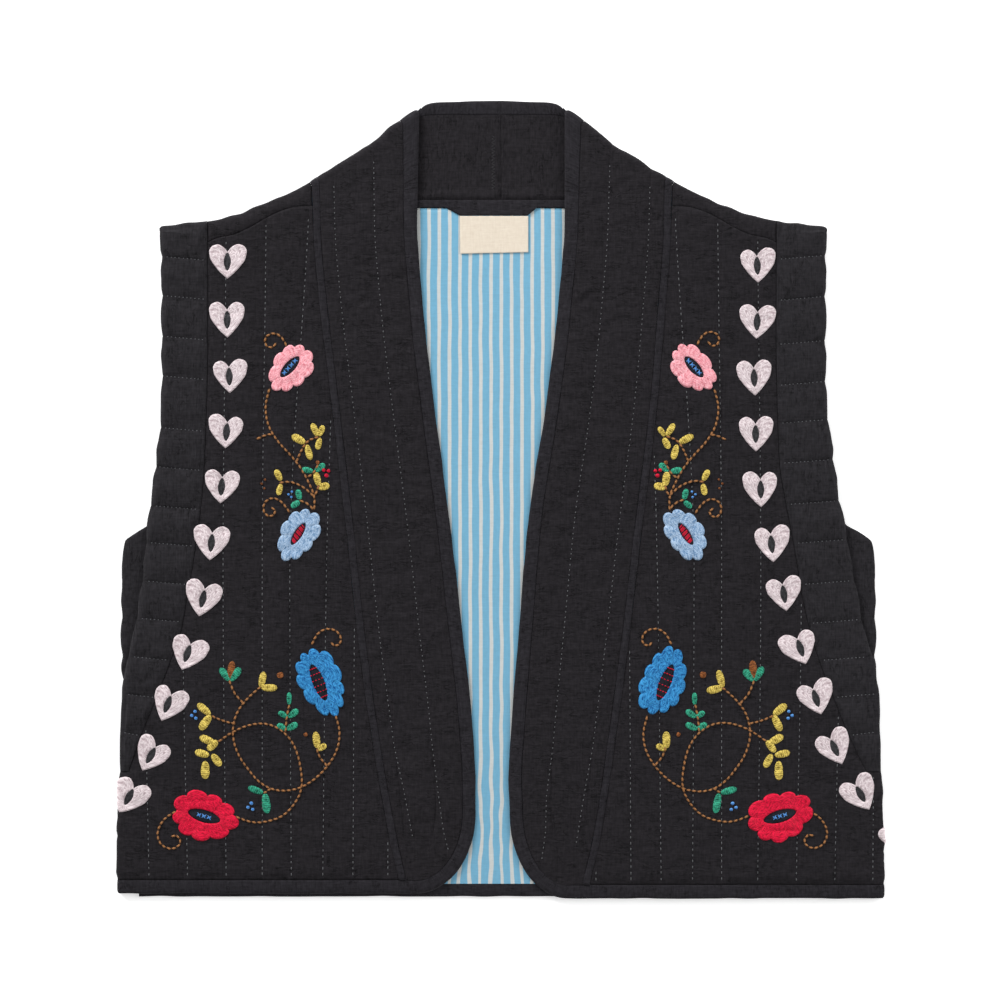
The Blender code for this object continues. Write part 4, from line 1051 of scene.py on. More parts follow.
def makeCollarBand(side):
    wall, gap = vest["bandWall"], vest["gap"]
    share = clusteredStops((0.0, *collarShares, 1.0), fine["across"] / collarShape["width"])[None, :]
    rows = edgeRows(side)
    edge, seam = (np.stack(rows[name], -1) for name in ("edge", "seam"))
    inner = seam + (seam - edge) / vest["bindingWidth"] * gap
    outerReach = tapeLine[side](rows["tape"]) - vest["tapeWidth"] / 2 - gap
    reach = mix(inner[:, :1], outerReach[:, None], share)
    height = mix(inner[:, 1:], rows["tape"][:, None], share)
    lift = collarLift(side, reach, height, share + 0 * reach)
    patches = [patch(frontPoints(side, reach, height, wall, lift), sign[side] * reach, height)]
    foldReach = mix(collarBack["seam"][0][0] + gap, collarBack["neck"][0][0] - gap, share)
    foldHeight, _ = topFold(side, foldReach, wall)
    t = stops(0.0, 1.0, fine["along"] / collarShape["climb"])[:, None]
    upReach, upHeight = mix(reach[-1:], foldReach, t), mix(height[-1:], foldHeight, t)
    upLift = collarLift(side, upReach, upHeight, share + 0 * upReach) * mix(1.0, 0.75, ease(t))
    points = frontPoints(side, upReach, upHeight, wall, upLift)
    patches.append(patch(points, sign[side] * upReach, upHeight))
    pairs = ((reach, upReach), (height, upHeight), (lift, upLift))
    collarSurface[side] = [np.concatenate(pair).ravel() for pair in pairs]
    points, distance = overTop(side, foldReach, wall, upLift[-1:])
    patches.append(patch(points, sign[side] * foldReach, foldHeight + distance))
    backX, backY, end = collarCurve("seam", middleReach(side))
    neckX, neckY, _ = collarCurve("neck", middleReach(side))
    last = end - collarShape["seamOver"]
    closer = last + collarShape["seamOver"] * np.array([0.3, 0.55, 0.75, 0.9, 1.0])
    way = np.append(stops(0.0, last, fine["along"] / collarShape["behind"]), closer)[:, None]
    settle = ease(way)
    lineX, lineY = mix(backX(way), neckX(way), share), mix(backY(way) - gap, neckY(way) + gap, share)
    reach = mix(settled(lineX, foldReach, settle), lineX, settle)
    height = mix(settled(lineY, foldHeight, settle), lineY, settle)
    x = sign[side] * reach
    roll = np.exp(-(((share - collarShape["roll"]) / collarShape["rollWidth"]) ** 2))
    ripple = (neckRipple(x, height) + roll) * ease(way / 0.7) * ease(share * 12) * ease((1 - share) * 26)
    atSeam = ease((end - way) / 0.1)
    points = slantSeam(lowerPoints(side, reach, height, wall, ripple * atSeam, 1 - 0.3 * (1 - atSeam)))
    patches.append(patch(points, -height, x))
    return clothPiece(f"{side}CollarCloth", patches, quiltedCotton, f"{side}_collar_band")


tapeShape = {"columns": 9, "climb": 30.0, "behind": 21.0, "edgeSway": 0.25, "uneven": 0.3}


def makeSeamTape(side):
    wall, width, top = vest["shellWall"], vest["tapeWidth"], vest["tapeTop"]
    share = np.linspace(0.0, 1.0, tapeShape["columns"])[None, :]
    bulge = relief["tapePuff"] * np.sin(math.pi * (0.06 + 0.88 * share)) ** 0.7
    height = stops(vest["frontHem"][side] + vest["bindingWidth"] + vest["gap"], top, fine["along"])[:, None]
    edgeWave = tapeShape["edgeSway"] * lineNoise(height, 16, 61)
    reach = tapeLine[side](height) + width * (share - 0.5) + edgeWave
    uneven = 1 + tapeShape["uneven"] * lineNoise(height, 9, 62)
    wrinkle = stripWrinkle(height, share, 63 + sign[side]) * ease((500 - height) / 12)
    lift = np.maximum(bulge * uneven + wrinkle, 0.0)
    patches = [patch(frontPoints(side, reach, height + 0 * reach, wall, lift), sign[side] * reach, height)]
    foldReach = collarBack["neck"][0][0] + width * share
    foldHeight, _ = topFold(side, foldReach, wall)
    t = stops(0.0, 1.0, fine["along"] / tapeShape["climb"])[:, None]
    upReach, upHeight = mix(reach[-1:], foldReach, t), mix(top, foldHeight, t)
    points = frontPoints(side, upReach, upHeight, wall, bulge * mix(uneven[-1:], 1.0, t))
    patches.append(patch(points, sign[side] * foldReach, upHeight))
    points, distance = overTop(side, foldReach, wall, bulge)
    patches.append(patch(points, sign[side] * foldReach, foldHeight + distance))
    neckX, neckY, end = collarCurve("neck", middleReach(side))
    way = stops(0.0, end, fine["along"] / tapeShape["behind"])[:, None]
    settle = ease(way)
    reach = settled(neckX(way), foldReach, settle)
    height = neckY(way) - width * share * settle + (foldHeight - neckY(0.0)) * (1 - settle)
    points = slantSeam(lowerPoints(side, reach, height, wall))
    patches.append(patch(points, sign[side] * reach, height))
    return clothPiece(f"{side}TapeCloth", patches, bindingCotton, f"{side}_seam_tape")


bindingShape = {"columns": 11, "rounded": 0.22, "climb": 75.0, "behind": 11.0, "uneven": 0.3, "startSeed": 71}


def makeEdgeBinding(side):
    wall, width, hem = vest["shellWall"], vest["bindingWidth"], vest["frontHem"][side]
    share = np.linspace(0.0, 1.0, bindingShape["columns"])[None, :]
    slim = edgeRound(share, bindingShape["rounded"])
    bulge = relief["bindingPuff"] * np.sin(math.pi * (0.13 + 0.83 * share)) ** 0.8

    def sway(x, seed):
        return 1 + bindingShape["uneven"] * lineNoise(x, 11, seed)

    start = float(sideStart(side, hem, wall))
    turn = float(foldLength(hem))
    below = stops(start + turn + vest["underWidth"], start, 0.8)
    above = stops(start, vest["cornerReach"], fine["along"])
    along = np.append(below, above[1:])[:, None]
    fading = ease((start + turn - along) / turn)
    wrinkle = stripWrinkle(along, share, 75) * ease((along - vest["cornerReach"]) / 12)
    lift = np.maximum(bulge * sway(along, bindingShape["startSeed"]) + wrinkle, 0.0) * fading
    points = folded(side, start, hem, (1.0, 0.0), along - start, wall, lift, slim)
    height = hem + width * (1 - share) + 0 * along
    edgeWave = 0.35 * lineNoise(along, 13, 72) * share * ease((along - vest["cornerReach"]) / 12)
    for each in points:
        each[..., 1] = (height + edgeWave - vest["length"] / 2) * mm
    patches = [patch(points, height, sign[side] * along)]
    rows = edgeRows(side)
    edge, seam = (np.stack(rows[name], -1) for name in ("edge", "seam"))
    run = np.concatenate(([0.0], np.cumsum(np.hypot(*np.diff(edge, axis=0).T))))[:, None]
    left = run[-1] - run
    wave = 0.3 * lineNoise(run, 14, 73) * share * ease(run / 10) * ease(left / 10)
    reach = mix(seam[:, :1], edge[:, :1], share) + wave
    height = mix(seam[:, 1:], edge[:, 1:], share)
    uneven = 1 + (sway(run, 74) - 1) * ease(run / 10)
    startSway = sway(np.array([[vest["cornerReach"]]]), bindingShape["startSeed"])
    uneven = mix(startSway, uneven, ease(run / 10))
    wrinkle = stripWrinkle(run, share, 77) * ease(run / 12) * ease(left / 12)
    lift = np.maximum(bulge * uneven + wrinkle, 0.0)
    patches.append(patch(frontPoints(side, reach, height, wall, lift, slim), width * share, run))
    foldReach = mix(collarBack["seam"][0][0], collarBack["edge"][0][0], share)
    foldHeight, _ = topFold(side, foldReach, wall)
    climb = bindingShape["climb"]
    t = stops(0.0, 1.0, fine["along"] / climb)[:, None]
    upReach, upHeight = mix(reach[-1:], foldReach, t), mix(height[-1:], foldHeight, t)
    points = frontPoints(side, upReach, upHeight, wall, bulge * mix(uneven[-1:], 1.0, t), slim + 0 * t)
    patches.append(patch(points, width * share, run[-1] + climb * t))
    points, distance = overTop(side, foldReach, wall, bulge, slim)
    patches.append(patch(points, width * share, run[-1] + climb + distance))
    seamX, seamY, end = collarCurve("seam", middleReach(side))
    edgeX, edgeY, _ = collarCurve("edge", middleReach(side))
    way = stops(0.0, end, fine["along"] / bindingShape["behind"])[:, None]
    settle = ease(way)
    reach = settled(mix(seamX(way), edgeX(way), share), foldReach, settle)
    height = settled(mix(seamY(way), edgeY(way), share), foldHeight, settle)
    height = height + 2.0 * share * np.sin(math.pi * np.clip(way, 0.0, 1.0)) ** 0.5
    lift = np.maximum(0.8 * bulge + stripWrinkle(21 * way, share, 79), 0.0)
    lift = lift * ease(way / 0.7) * ease((end - way) / 0.1 + 0.3)
    points = slantSeam(lowerPoints(side, reach, height, wall, lift, slim))
    patches.append(patch(points, width * share, run[-1] + (climb + 15) + 12 * way))
    return clothPiece(f"{side}BindingCloth", patches, bindingCotton, f"{side}_edge_binding")


def backSide(side, height):
    skirt = sideStart(side, height, vest["shellWall"]) - vest["underWidth"] - 0.7
    return mix(skirt, backSeam[side](height), ease((height - vest["underarm"] + 6) / 6))


def neckEdge(reach):
    reaches, heights = zip(*collarBack["neck"][::-1])
    return curveThrough(reaches, heights)(reach) - vest["tapeWidth"] - vest["gap"]


def backTop(x, shortBy):  # height of the back's upper edge at a signed reach
    reach = np.abs(x)
    near = np.clip(reach, vest["neckCorner"], vest["shoulderOut"])
    left, right = (topFold(side, near, vest["shellWall"])[0] for side in sides)
    shoulder = np.where(x < 0, left, right) - shortBy
    neck = neckEdge(np.minimum(reach, collarBack["neck"][0][0]))
    return np.where(reach < vest["neckCorner"], np.minimum(neck, shoulder + 50), shoulder)


def backGrid(spacing, inset, shortBy):
    hem = vest["backHem"] + vest["backHemWidth"] + vest["gap"]
    u = stops(0.0, 1.0, spacing / 540)[None, :]
    patches = []
    height = np.insert(stops(hem, vest["backLevel"], spacing), 1, hem + 0.3)[:, None]
    left, right = (backSide(side, height) - inset for side in sides)
    x = mix(-left, right, u)
    patches.append((x, height + 0 * x))
    t = stops(0.0, 1.0, spacing / 60)[:, None]
    out = vest["shoulderEnd"] - inset
    x = mix(-out, out, u)
    patches.append((x + 0 * t, mix(vest["backLevel"], backTop(x, shortBy), t)))
    return patches


def makeBack():
    wall = vest["shellWall"]
    patches = []
    for x, height in backGrid(fine["back"], 0.0, 0.0):
        patches.append(patch(lowerPoints("right", x, height, wall), x, height))
    for side in sides:
        reach = stops(vest["neckCorner"] - 0.2, vest["shoulderEnd"], fine["across"])[None, :]
        foldHeight, outward = topFold(side, reach, wall)
        seam = shoulderSeam(reach)
        steps = stops(1.0, 0.0, 1 / fine["fold"])[:, None]
        distance = foldLength(foldHeight) * steps
        edgeWave = 0.4 * lineNoise(reach, 9, 81) * np.sin(math.pi * steps)
        points = folded(side, reach + 0 * distance, foldHeight + edgeWave, outward, distance, wall)
        patches.append(patch(points, sign[side] * reach + 0 * distance, foldHeight + distance))
        t = stops(0.0, 1.0, fine["along"] / 22)[:, None]
        height = mix(foldHeight, seam, t)
        lift = 0.7 * np.sin(math.pi * t) ** 0.7 * (1 + 0.3 * softNoise(reach, height, 10, 20, 82))
        lift = lift * ease((reach - vest["neckCorner"]) / 5) * ease((vest["shoulderEnd"] - reach) / 5)
        points = frontPoints(side, reach + 0 * t, height, wall, lift)
        patches.append(patch(points, sign[side] * reach + 0 * t, height))
    return clothPiece("backCloth", patches, quiltedCotton, "back_panel")


def makeLining():
    low, wall = vest["liningZ"], vest["liningWall"]
    patches = []
    for x, height in backGrid(fine["lining"], 2.0, 3.0):
        wave = 0.2 * softNoise(x, height, 30, 60, 91) + 0.1 * softNoise(x, height, 22, 9, 92)
        bottom = toScene("right", x, height, low + 0 * x)
        top = toScene("right", x, height, low + wall + wave)
        patches.append(patch((top, bottom), x + vest["openingLine"], height))
    return clothPiece("liningCloth", patches, stripedLining, "back_lining")


def makeBackHem():
    left, right = (float(backSide(side, vest["backHem"])) for side in sides)
    x = stops(-left, right, 3.0)[:, None]
    share = np.linspace(0.0, 1.0, 10)[None, :]
    thick = vest["liningZ"] + vest["liningWall"]
    arch = 1 - np.sin(math.pi * np.clip(share * 1.05, 0, 1))
    roundOff = 1.1 * (1 - edgeRound(1 - share, 0.25)) + 0.25 * arch
    wave = 0.35 * lineNoise(x, 15, 95)
    height = vest["backHem"] + vest["backHemWidth"] * share + wave * (1 - share)
    outer = toScene("right", x + 0 * share, height, thick - roundOff + 0.12 * softNoise(x, height, 6, 5, 96))
    inner = toScene("right", x + 0 * share, height, 0.9 * (1 - ease(share / 0.18)) + 0 * x)
    return clothPiece("backHemCloth", [patch((outer, inner), x, height)], bindingCotton, "back_hem_binding")


neckTab = {
    "halfWidth": 66.0, "top": 518.0, "bottom": 512.5, "tabBottom": 506.6,
    "corners": [(-41.0, 0.0), (-30.5, 1.0), (19.8, 1.0), (27.0, 0.0)],
}


def makeFacing():
    z, wall = vest["facingZ"], 1.0
    half, (cornersX, drops) = neckTab["halfWidth"], zip(*neckTab["corners"])
    x = np.unique(np.concatenate([stops(-half, half, 1.5), cornersX]))
    drop = np.interp(x, cornersX, drops)[:, None]
    bottom = mix(neckTab["bottom"], neckTab["tabBottom"], drop)
    share = clustered(0.0, 1.0, 12)[None, :]
    height = mix(bottom, neckTab["top"], share)
    slim = np.minimum(edgeRound(1 - share, 0.15), edgeRound(share, 0.1))
    shift = -vest["openingLine"] + x[:, None]
    outer = toScene("right", shift + 0 * share, height, z + wall * (0.5 + 0.5 * slim))
    inner = toScene("right", shift + 0 * share, height, z + wall * (0.5 - 0.5 * slim))
    patches = [patch((outer, inner), x[:, None], height)]
    return clothPiece("neckFacingCloth", patches, bindingCotton, "neck_facing")


labelSize = {"left": -30.5, "right": 20.2, "top": 506.2, "bottom": 478.8, "thickness": 0.5}


def makeLabel():
    u = clustered(0.0, 1.0, 40)[None, :]
    v = clustered(0.0, 1.0, 26)[:, None]
    x = mix(labelSize["left"] + 0.4 * (1 - v), labelSize["right"], u)
    height = mix(labelSize["bottom"] + mix(-0.5, 0.6, u), labelSize["top"], v)
    curl = 0.16 * (1 - v) ** 2 * (1 - 0.5 * u) + 0.1 * np.sin(3 * math.pi * u) * (1 - v) + 0.1
    edge = np.minimum(np.minimum(u, 1 - u) * 50, np.minimum(v, 1 - v) * 28)
    thick = labelSize["thickness"] * (0.6 + 0.4 * ease(edge / 0.4))
    z = vest["facingZ"] + curl
    shift = x - vest["openingLine"]
    outer, inner = toScene("right", shift, height, z + thick), toScene("right", shift, height, z + 0 * thick)
    return clothPiece("labelCloth", [patch((outer, inner), x, height)], labelCotton, "label")


def cutBack(piece, short, *restsOn):  # both halves of the back, a little smaller all round for its lining
    low, top = vest["backHem"] + vest["backHemWidth"], vest["tapeTop"]

    def left(height):
        return -backSide("left", height) + short

    def right(height):
        return backSide("right", height) - short

    shoulders = 2 * 77 * 40  # from the neck corner to the armhole, above that line and over the fold
    between(low, top, left, right) + shoulders


def cutFront(piece, side, *restsOn):
    wall = vest["shellWall"]
    low, underarm, top = vest["frontHem"][side] + vest["bindingWidth"], vest["underarm"], vest["edgeTop"]

    def turned(height):
        return sideStart(side, height, wall) + foldLength(height) + vest["underWidth"]

    def tape(height):
        return tapeOutside(side, height)

    area = between(low, underarm, tape, turned) + between(underarm, top, tape, armholeSeam[side])


def cutCollar(piece, side, *restsOn):
    def seam(height):
        return frontEdge[side](height) + vest["bindingWidth"]

    def tape(height):
        return tapeLine[side](height) - vest["tapeWidth"] / 2

    corner, neck = 20 * 50, 64 * 135
    between(vest["cornerHeight"], 540.0, seam, tape) + corner + neck


def cutArmhole(piece, side, *restsOn):
    wall, top = vest["bandWall"], 498.0
    crotch = float(armholeLine(side, armhole["crotchLine"]))

    def fold(height):
        return sideStart(side, height, wall)

    area = 36 * 8  # over the shoulder fold
    for seam, edge in ((armholeSeam[side], bandEdgeFront[side]), (backSeam[side], bandEdgeBack[side])):
        area += between(vest["underarm"], crotch, seam, fold) + between(crotch, top, seam, edge)


back, lining, backHem, facing, label = makeBack(), makeLining(), makeBackHem(), makeFacing(), makeLabel()
cutBack(back, 0.0)
cutBack(lining, 2.0, back)
for side in sides:
    front, collar, band = makeFront(side), makeCollarBand(side), makeArmholeBand(side)
    tape, binding = makeSeamTape(side), makeEdgeBinding(side)
    cutFront(front, side, lining)
    cutCollar(collar, side, lining)
    cutArmhole(band, side, lining)
    print(side, "cloth made")

# embroidery: every motif is drawn flat, turned, and laid on the cloth it is sewn to

def ontoFront(side, reach, height, proud):
    lift = frontLift(side, reach, height)
    return frontPoints(side, reach, height, vest["shellWall"], lift + proud)[0]


def ontoBoth(side, reach, height, proud):  # from the front over the armhole seam onto the band
    seam = armholeSeam[side](height)
    width = np.maximum(bandEdgeFront[side](height) - seam, 1.0)
    bandLift, _ = armholeLift(side, reach, height, np.clip((reach - seam) / width, 0.0, 1.0))
    bandLift = bandLift + vest["bandWall"] - vest["shellWall"]
    over = ease((reach - seam + 1.2) / 2.4) * (height > vest["underarm"])
    lift = mix(frontLift(side, reach, height), bandLift, over)
    return frontPoints(side, reach, height, vest["shellWall"], lift + proud)[0]


def ontoBand(side, reach, height, proud):
    width = np.maximum(bandEdgeFront[side](height) - armholeSeam[side](height), 1.0)
    share = np.clip((reach - armholeSeam[side](height)) / width, 0.0, 1.0)
    lift, _ = armholeLift(side, reach, height, share)
    return frontPoints(side, reach, height, vest["bandWall"], lift + proud)[0]


def ontoCollar(side, reach, height, proud):  # the lift is that of the nearest point of the band
    reaches, heights, lifts = collarSurface[side]
    lift = np.empty(reach.shape)
    for i, (r, h) in enumerate(zip(reach.ravel(), height.ravel())):
        lift.flat[i] = lifts[np.argmin((reaches - r) ** 2 + (heights - h) ** 2)]
    return frontPoints(side, reach, height, vest["bandWall"], lift + proud)[0]


def turned(u, v, spot):  # flat motif coordinates to reach and height
    angle = math.radians(spot["turn"])
    across, up = math.cos(angle), math.sin(angle)
    return spot["reach"] + u * across - v * up, spot["height"] + u * up + v * across


def sewnPatch(side, u, v, spot, proud, flatU, flatV, onto=ontoFront):
    reach, height = turned(u, v, spot)
    outer = onto(side, reach, height, proud)
    inner = onto(side, reach, height, 0 * proud - 0.35)
    outer[..., 2] = np.maximum(outer[..., 2], 0.02 * mm)
    inner[..., 2] = np.maximum(inner[..., 2], 0.0)
    return patch((outer, inner), flatU, flatV)


def around(count):  # angles of a closed ring
    return np.linspace(0.0, 2 * math.pi, count + 1)[None, :]


def closeRing(*grids):  # the last column is exactly the first
    for grid in grids:
        grid[:, -1] = grid[:, 0]


hearts = {  # reach, height and turn of each, from the shoulder down
    "left": [(196.0, 473.0, 0), (196.3, 430.0, 0), (194.5, 388.0, 2), (196.5, 347.0, 1),
             (200.5, 306.5, 1), (207.0, 265.0, 4), (213.5, 223.5, 9), (225.0, 183.0, 17),
             (239.5, 145.5, 23), (252.0, 107.5, 27), (267.5, 77.0, 29)],
    "right": [(196.5, 470.0, 0), (196.8, 428.5, 0), (193.5, 387.0, 1), (194.5, 345.5, 0),
              (198.6, 304.5, 2), (207.0, 264.0, 6), (215.5, 227.0, 9), (227.5, 187.0, 17),
              (239.0, 150.0, 21), (253.5, 113.0, 25), (272.0, 79.0, 29), (302.0, 46.0, 20)],
}
heartShape = {
    "halfOutline": [(0.0, 6.6), (3.0, 10.2), (7.2, 12.2), (11.4, 10.9), (13.6, 6.9), (12.7, 1.4),
                    (9.3, -4.2), (4.9, -9.4), (0.0, -13.8)],
    "slotWidth": 2.5, "slotLength": 6.4, "slotMiddle": -0.9, "thick": 0.62, "rim": 0.1,
}


def heartOutline(t):  # from 0 at the notch to 1 at the tip, for one half
    spots = heartShape["halfOutline"]
    way = np.linspace(0.0, 1.0, len(spots))
    return [curveThrough(way, values)(t) for values in zip(*spots)]


def makeHearts(side):
    fill, slots = [], []
    count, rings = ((64, 10))
    luck = np.random.default_rng(401 + sign[side])
    for reach, height, turn in hearts[side]:
        reach, turn = reach + luck.uniform(-0.6, 0.6), turn + luck.uniform(-4, 4)
        spot = {"reach": reach, "height": height, "turn": turn}
        wide, tall, lean = (luck.uniform(*span) for span in ((0.94, 1.03), (0.94, 1.03), (-0.09, 0.09)))
        t = np.linspace(0.0, 2.0, count + 1)[None, :]
        half = np.where(t <= 1, t, 2 - t)
        way = np.where(t <= 1, 1.0, -1.0)
        x, y = heartOutline(half)
        x = x * way * wide * (1 + lean * way)
        y = y * tall + lean * 9 * way * np.sin(math.pi * half) * (y > 0)
        angle = half * math.pi
        slotX = way * heartShape["slotWidth"] * np.sin(angle) ** 1.35
        slotY = heartShape["slotMiddle"] + heartShape["slotLength"] * np.cos(angle)
        s = (1 - (1 - stops(0.0, 1.0, 1.0 / rings)) ** 1.25)[:, None]
        u, v = mix(slotX, x, s), mix(slotY, y, s)
        closeRing(u, v)
        off = np.hypot(x - slotX, y - slotY)
        fromEdge = off * (1 - s)
        proud = heartShape["thick"] * ease(fromEdge / 1.1 + 0.12) * ease(s * off / 0.8 + 0.2)
        proud = proud + heartShape["rim"] * np.exp(-(((fromEdge - 1.1) / 0.8) ** 2))
        proud = proud + 0.09 * softNoise(u, v + height, 1.3, 1.7, 402)
        closeRing(proud)
        fill.append(sewnPatch(side, u, v, spot, proud, fromEdge, 30 * t + 0 * s, ontoBoth))
        w = np.linspace(-1.0, 1.0, 7)[None, :]
        a = (np.linspace(0.03, 0.97, 15) * math.pi)[:, None]
        u = (heartShape["slotWidth"] + 0.2) * np.sin(a) * w
        v = heartShape["slotMiddle"] + (heartShape["slotLength"] + 0.2) * np.cos(a) + 0 * w
        dome = 0.42 * np.sqrt(1.04 - w * w) * np.sin(a) ** 0.4 + 0.06 * np.sin(5 * a)
        slots.append(sewnPatch(side, u, v, spot, dome, v, u, ontoBoth))
    clothPiece(f"{side}Hearts", fill, threads["blush"])
    clothPiece(f"{side}HeartSlots", slots, threads["dusk"])


flowers = [  # long and across are half sizes; the eye may sit off the middle
    {"name": "Pink", "thread": "pink", "reach": 148.6, "height": 393.5, "turn": 42,
     "long": 19.2, "across": 13.8, "lobes": 9, "eyeLong": 9.9, "eyeAcross": 3.9, "eyeShift": 1.2,
     "marks": "crosses", "marksThread": "azure", "places": (-1.5, -0.5, 0.5, 1.5)},
    {"name": "Sky", "thread": "sky", "reach": 143.0, "height": 270.5, "turn": 33,
     "long": 20.6, "across": 13.2, "lobes": 9, "eyeLong": 9.4, "eyeAcross": 3.2, "eyeShift": 0.4,
     "marks": "satin", "marksThread": "crimson"},
    {"name": "Blue", "thread": "blue", "reach": 126.5, "height": 161.5, "turn": -22,
     "long": 25.6, "across": 15.8, "lobes": 11, "eyeLong": 14.2, "eyeAcross": 4.3, "eyeShift": 1.8,
     "marks": "rows", "marksThread": "crimson"},
    {"name": "Crimson", "thread": "crimson", "reach": 213.0, "height": 62.0, "turn": -74,
     "long": 24.2, "across": 17.6, "lobes": 9, "eyeLong": 12.4, "eyeAcross": 4.6, "eyeShift": 0.0,
     "marks": "crosses", "marksThread": "azure", "places": (-1, 0, 1)},
]
petals = {"scallop": 0.18, "thick": 1.1, "valley": 0.6, "rowStep": 1.45, "rowRise": 0.05}


def makeFlower(side, flower, seed):
    count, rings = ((160, 22))
    luck = np.random.default_rng(seed + sign[side])
    angle = around(count)
    lobes = flower["lobes"]
    wobble = luck.uniform(0.0, 2 * math.pi)
    phase = lobes * (angle + 0.10 * np.sin(angle * 2 + wobble)) / 2
    bulge = np.abs(np.sin(phase)) ** 0.62
    size = 1 + 0.05 * np.sin(angle * 3 + wobble) + petals["scallop"] * (bulge - 0.75)
    x, y = flower["across"] * np.sin(angle) * size, flower["long"] * np.cos(angle) * size
    pinch = 1 / (1 + 0.05 * np.abs(np.cos(angle)) ** 6)
    x = x * pinch
    eyeX = flower["eyeShift"] + flower["eyeAcross"] * np.sin(angle)
    eyeY = flower["eyeLong"] * np.cos(angle) * (1 - 0.12 * np.sin(angle) ** 2)
    s = stops(0.0, 1.0, 1.0 / rings)[:, None]
    u, v = mix(eyeX, x, s), mix(eyeY, y, s)
    off = np.hypot(x - eyeX, y - eyeY)
    fromEdge, fromEye = off * (1 - s), off * s
    # the rows of thread follow these arcs, which bend between the petals, so the painted shade between rows
    # also draws dark arcs between the petals
    arcs = fromEdge + 2.2 * (1 - bulge) * s
    proud = petals["thick"] * ease(fromEdge / 1.2 + 0.1) * ease(fromEye / 1.0 + 0.3)
    proud = proud - petals["valley"] * (1 - bulge) ** 2 * ease(1.5 * s - 0.2) * ease(fromEdge / 0.8)
    proud = proud + petals["rowRise"] * np.cos(2 * math.pi * arcs / petals["rowStep"]) * ease(fromEdge / 1.0)
    proud = np.maximum(proud + 0.12 * softNoise(u + 60, v + seed, 1.2, 1.5, seed), 0.05)
    closeRing(u, v, proud, arcs)
    spot = {key: flower[key] for key in ("reach", "height", "turn")}
    run = angle * (flower["long"] + flower["across"]) / 2
    name = f"{side}{flower['name']}Flower"
    clothPiece(name, [sewnPatch(side, u, v, spot, proud, arcs, run + 0 * s)], threads[flower["thread"]])
    w = np.linspace(-1.0, 1.0, 9)[None, :]
    a = (np.linspace(0.03, 0.97, 19) * math.pi)[:, None]
    u = flower["eyeShift"] + (flower["eyeAcross"] + 0.25) * np.sin(a) * w
    v = (flower["eyeLong"] + 0.25) * np.cos(a) * (1 - 0.12 * np.sin(a) ** 2) + 0 * w
    dome = 0.4 * np.sqrt(1.04 - w * w) * np.sin(a) ** 0.4
    clothPiece(name + "Eye", [sewnPatch(side, u, v, spot, dome, v, u)], threads["night"])
    return eyeMarks(flower, spot, luck)


def eyeMarks(flower, spot, luck):  # short straight stitches, as start and end in motif coordinates
    rows = []
    shift, marks, long = (flower[key] for key in ("eyeShift", "marks", "eyeLong"))

    def halfAcross(v, share):  # from the middle of the eye to where its marks end
        return flower["eyeAcross"] * math.sqrt(max(0.0, 1 - (v / long) ** 2)) * share

    if marks == "crosses":
        for place in flower["places"]:
            v, arm = 3.9 * place, 1.5
            rows.append((shift - arm, v - arm, shift + arm, v + arm))
            rows.append((shift - arm, v + arm, shift + arm, v - arm))
            rows.append((shift - 0.3, v - arm, shift + 0.3, v + arm))
    if marks == "satin":
        for v in np.arange(-0.72, 0.73, 0.09) * long:
            half = halfAcross(v, 0.8)
            if math.sin(v * 1.9) > -0.35:
                rows.append((shift - half, v - 0.6, shift + half, v + 0.6))
    if marks == "rows":
        for v in np.linspace(-0.78, 0.78, 6) * long:
            half = halfAcross(v, 0.85)
            places = np.linspace(-half, half, 4)
            rows += [(shift + u - 0.75, v - 0.1, shift + u + 0.75, v + 0.1) for u in places]
    starts, ends = [], []
    for u0, v0, u1, v1 in rows:
        jitter = luck.uniform(-0.15, 0.15, 4)
        starts.append(turned(u0 + jitter[0], v0 + jitter[1], spot))
        ends.append(turned(u1 + jitter[2], v1 + jitter[3], spot))
    return starts, ends


# stitches: short rounded threads from one point of the cloth to another

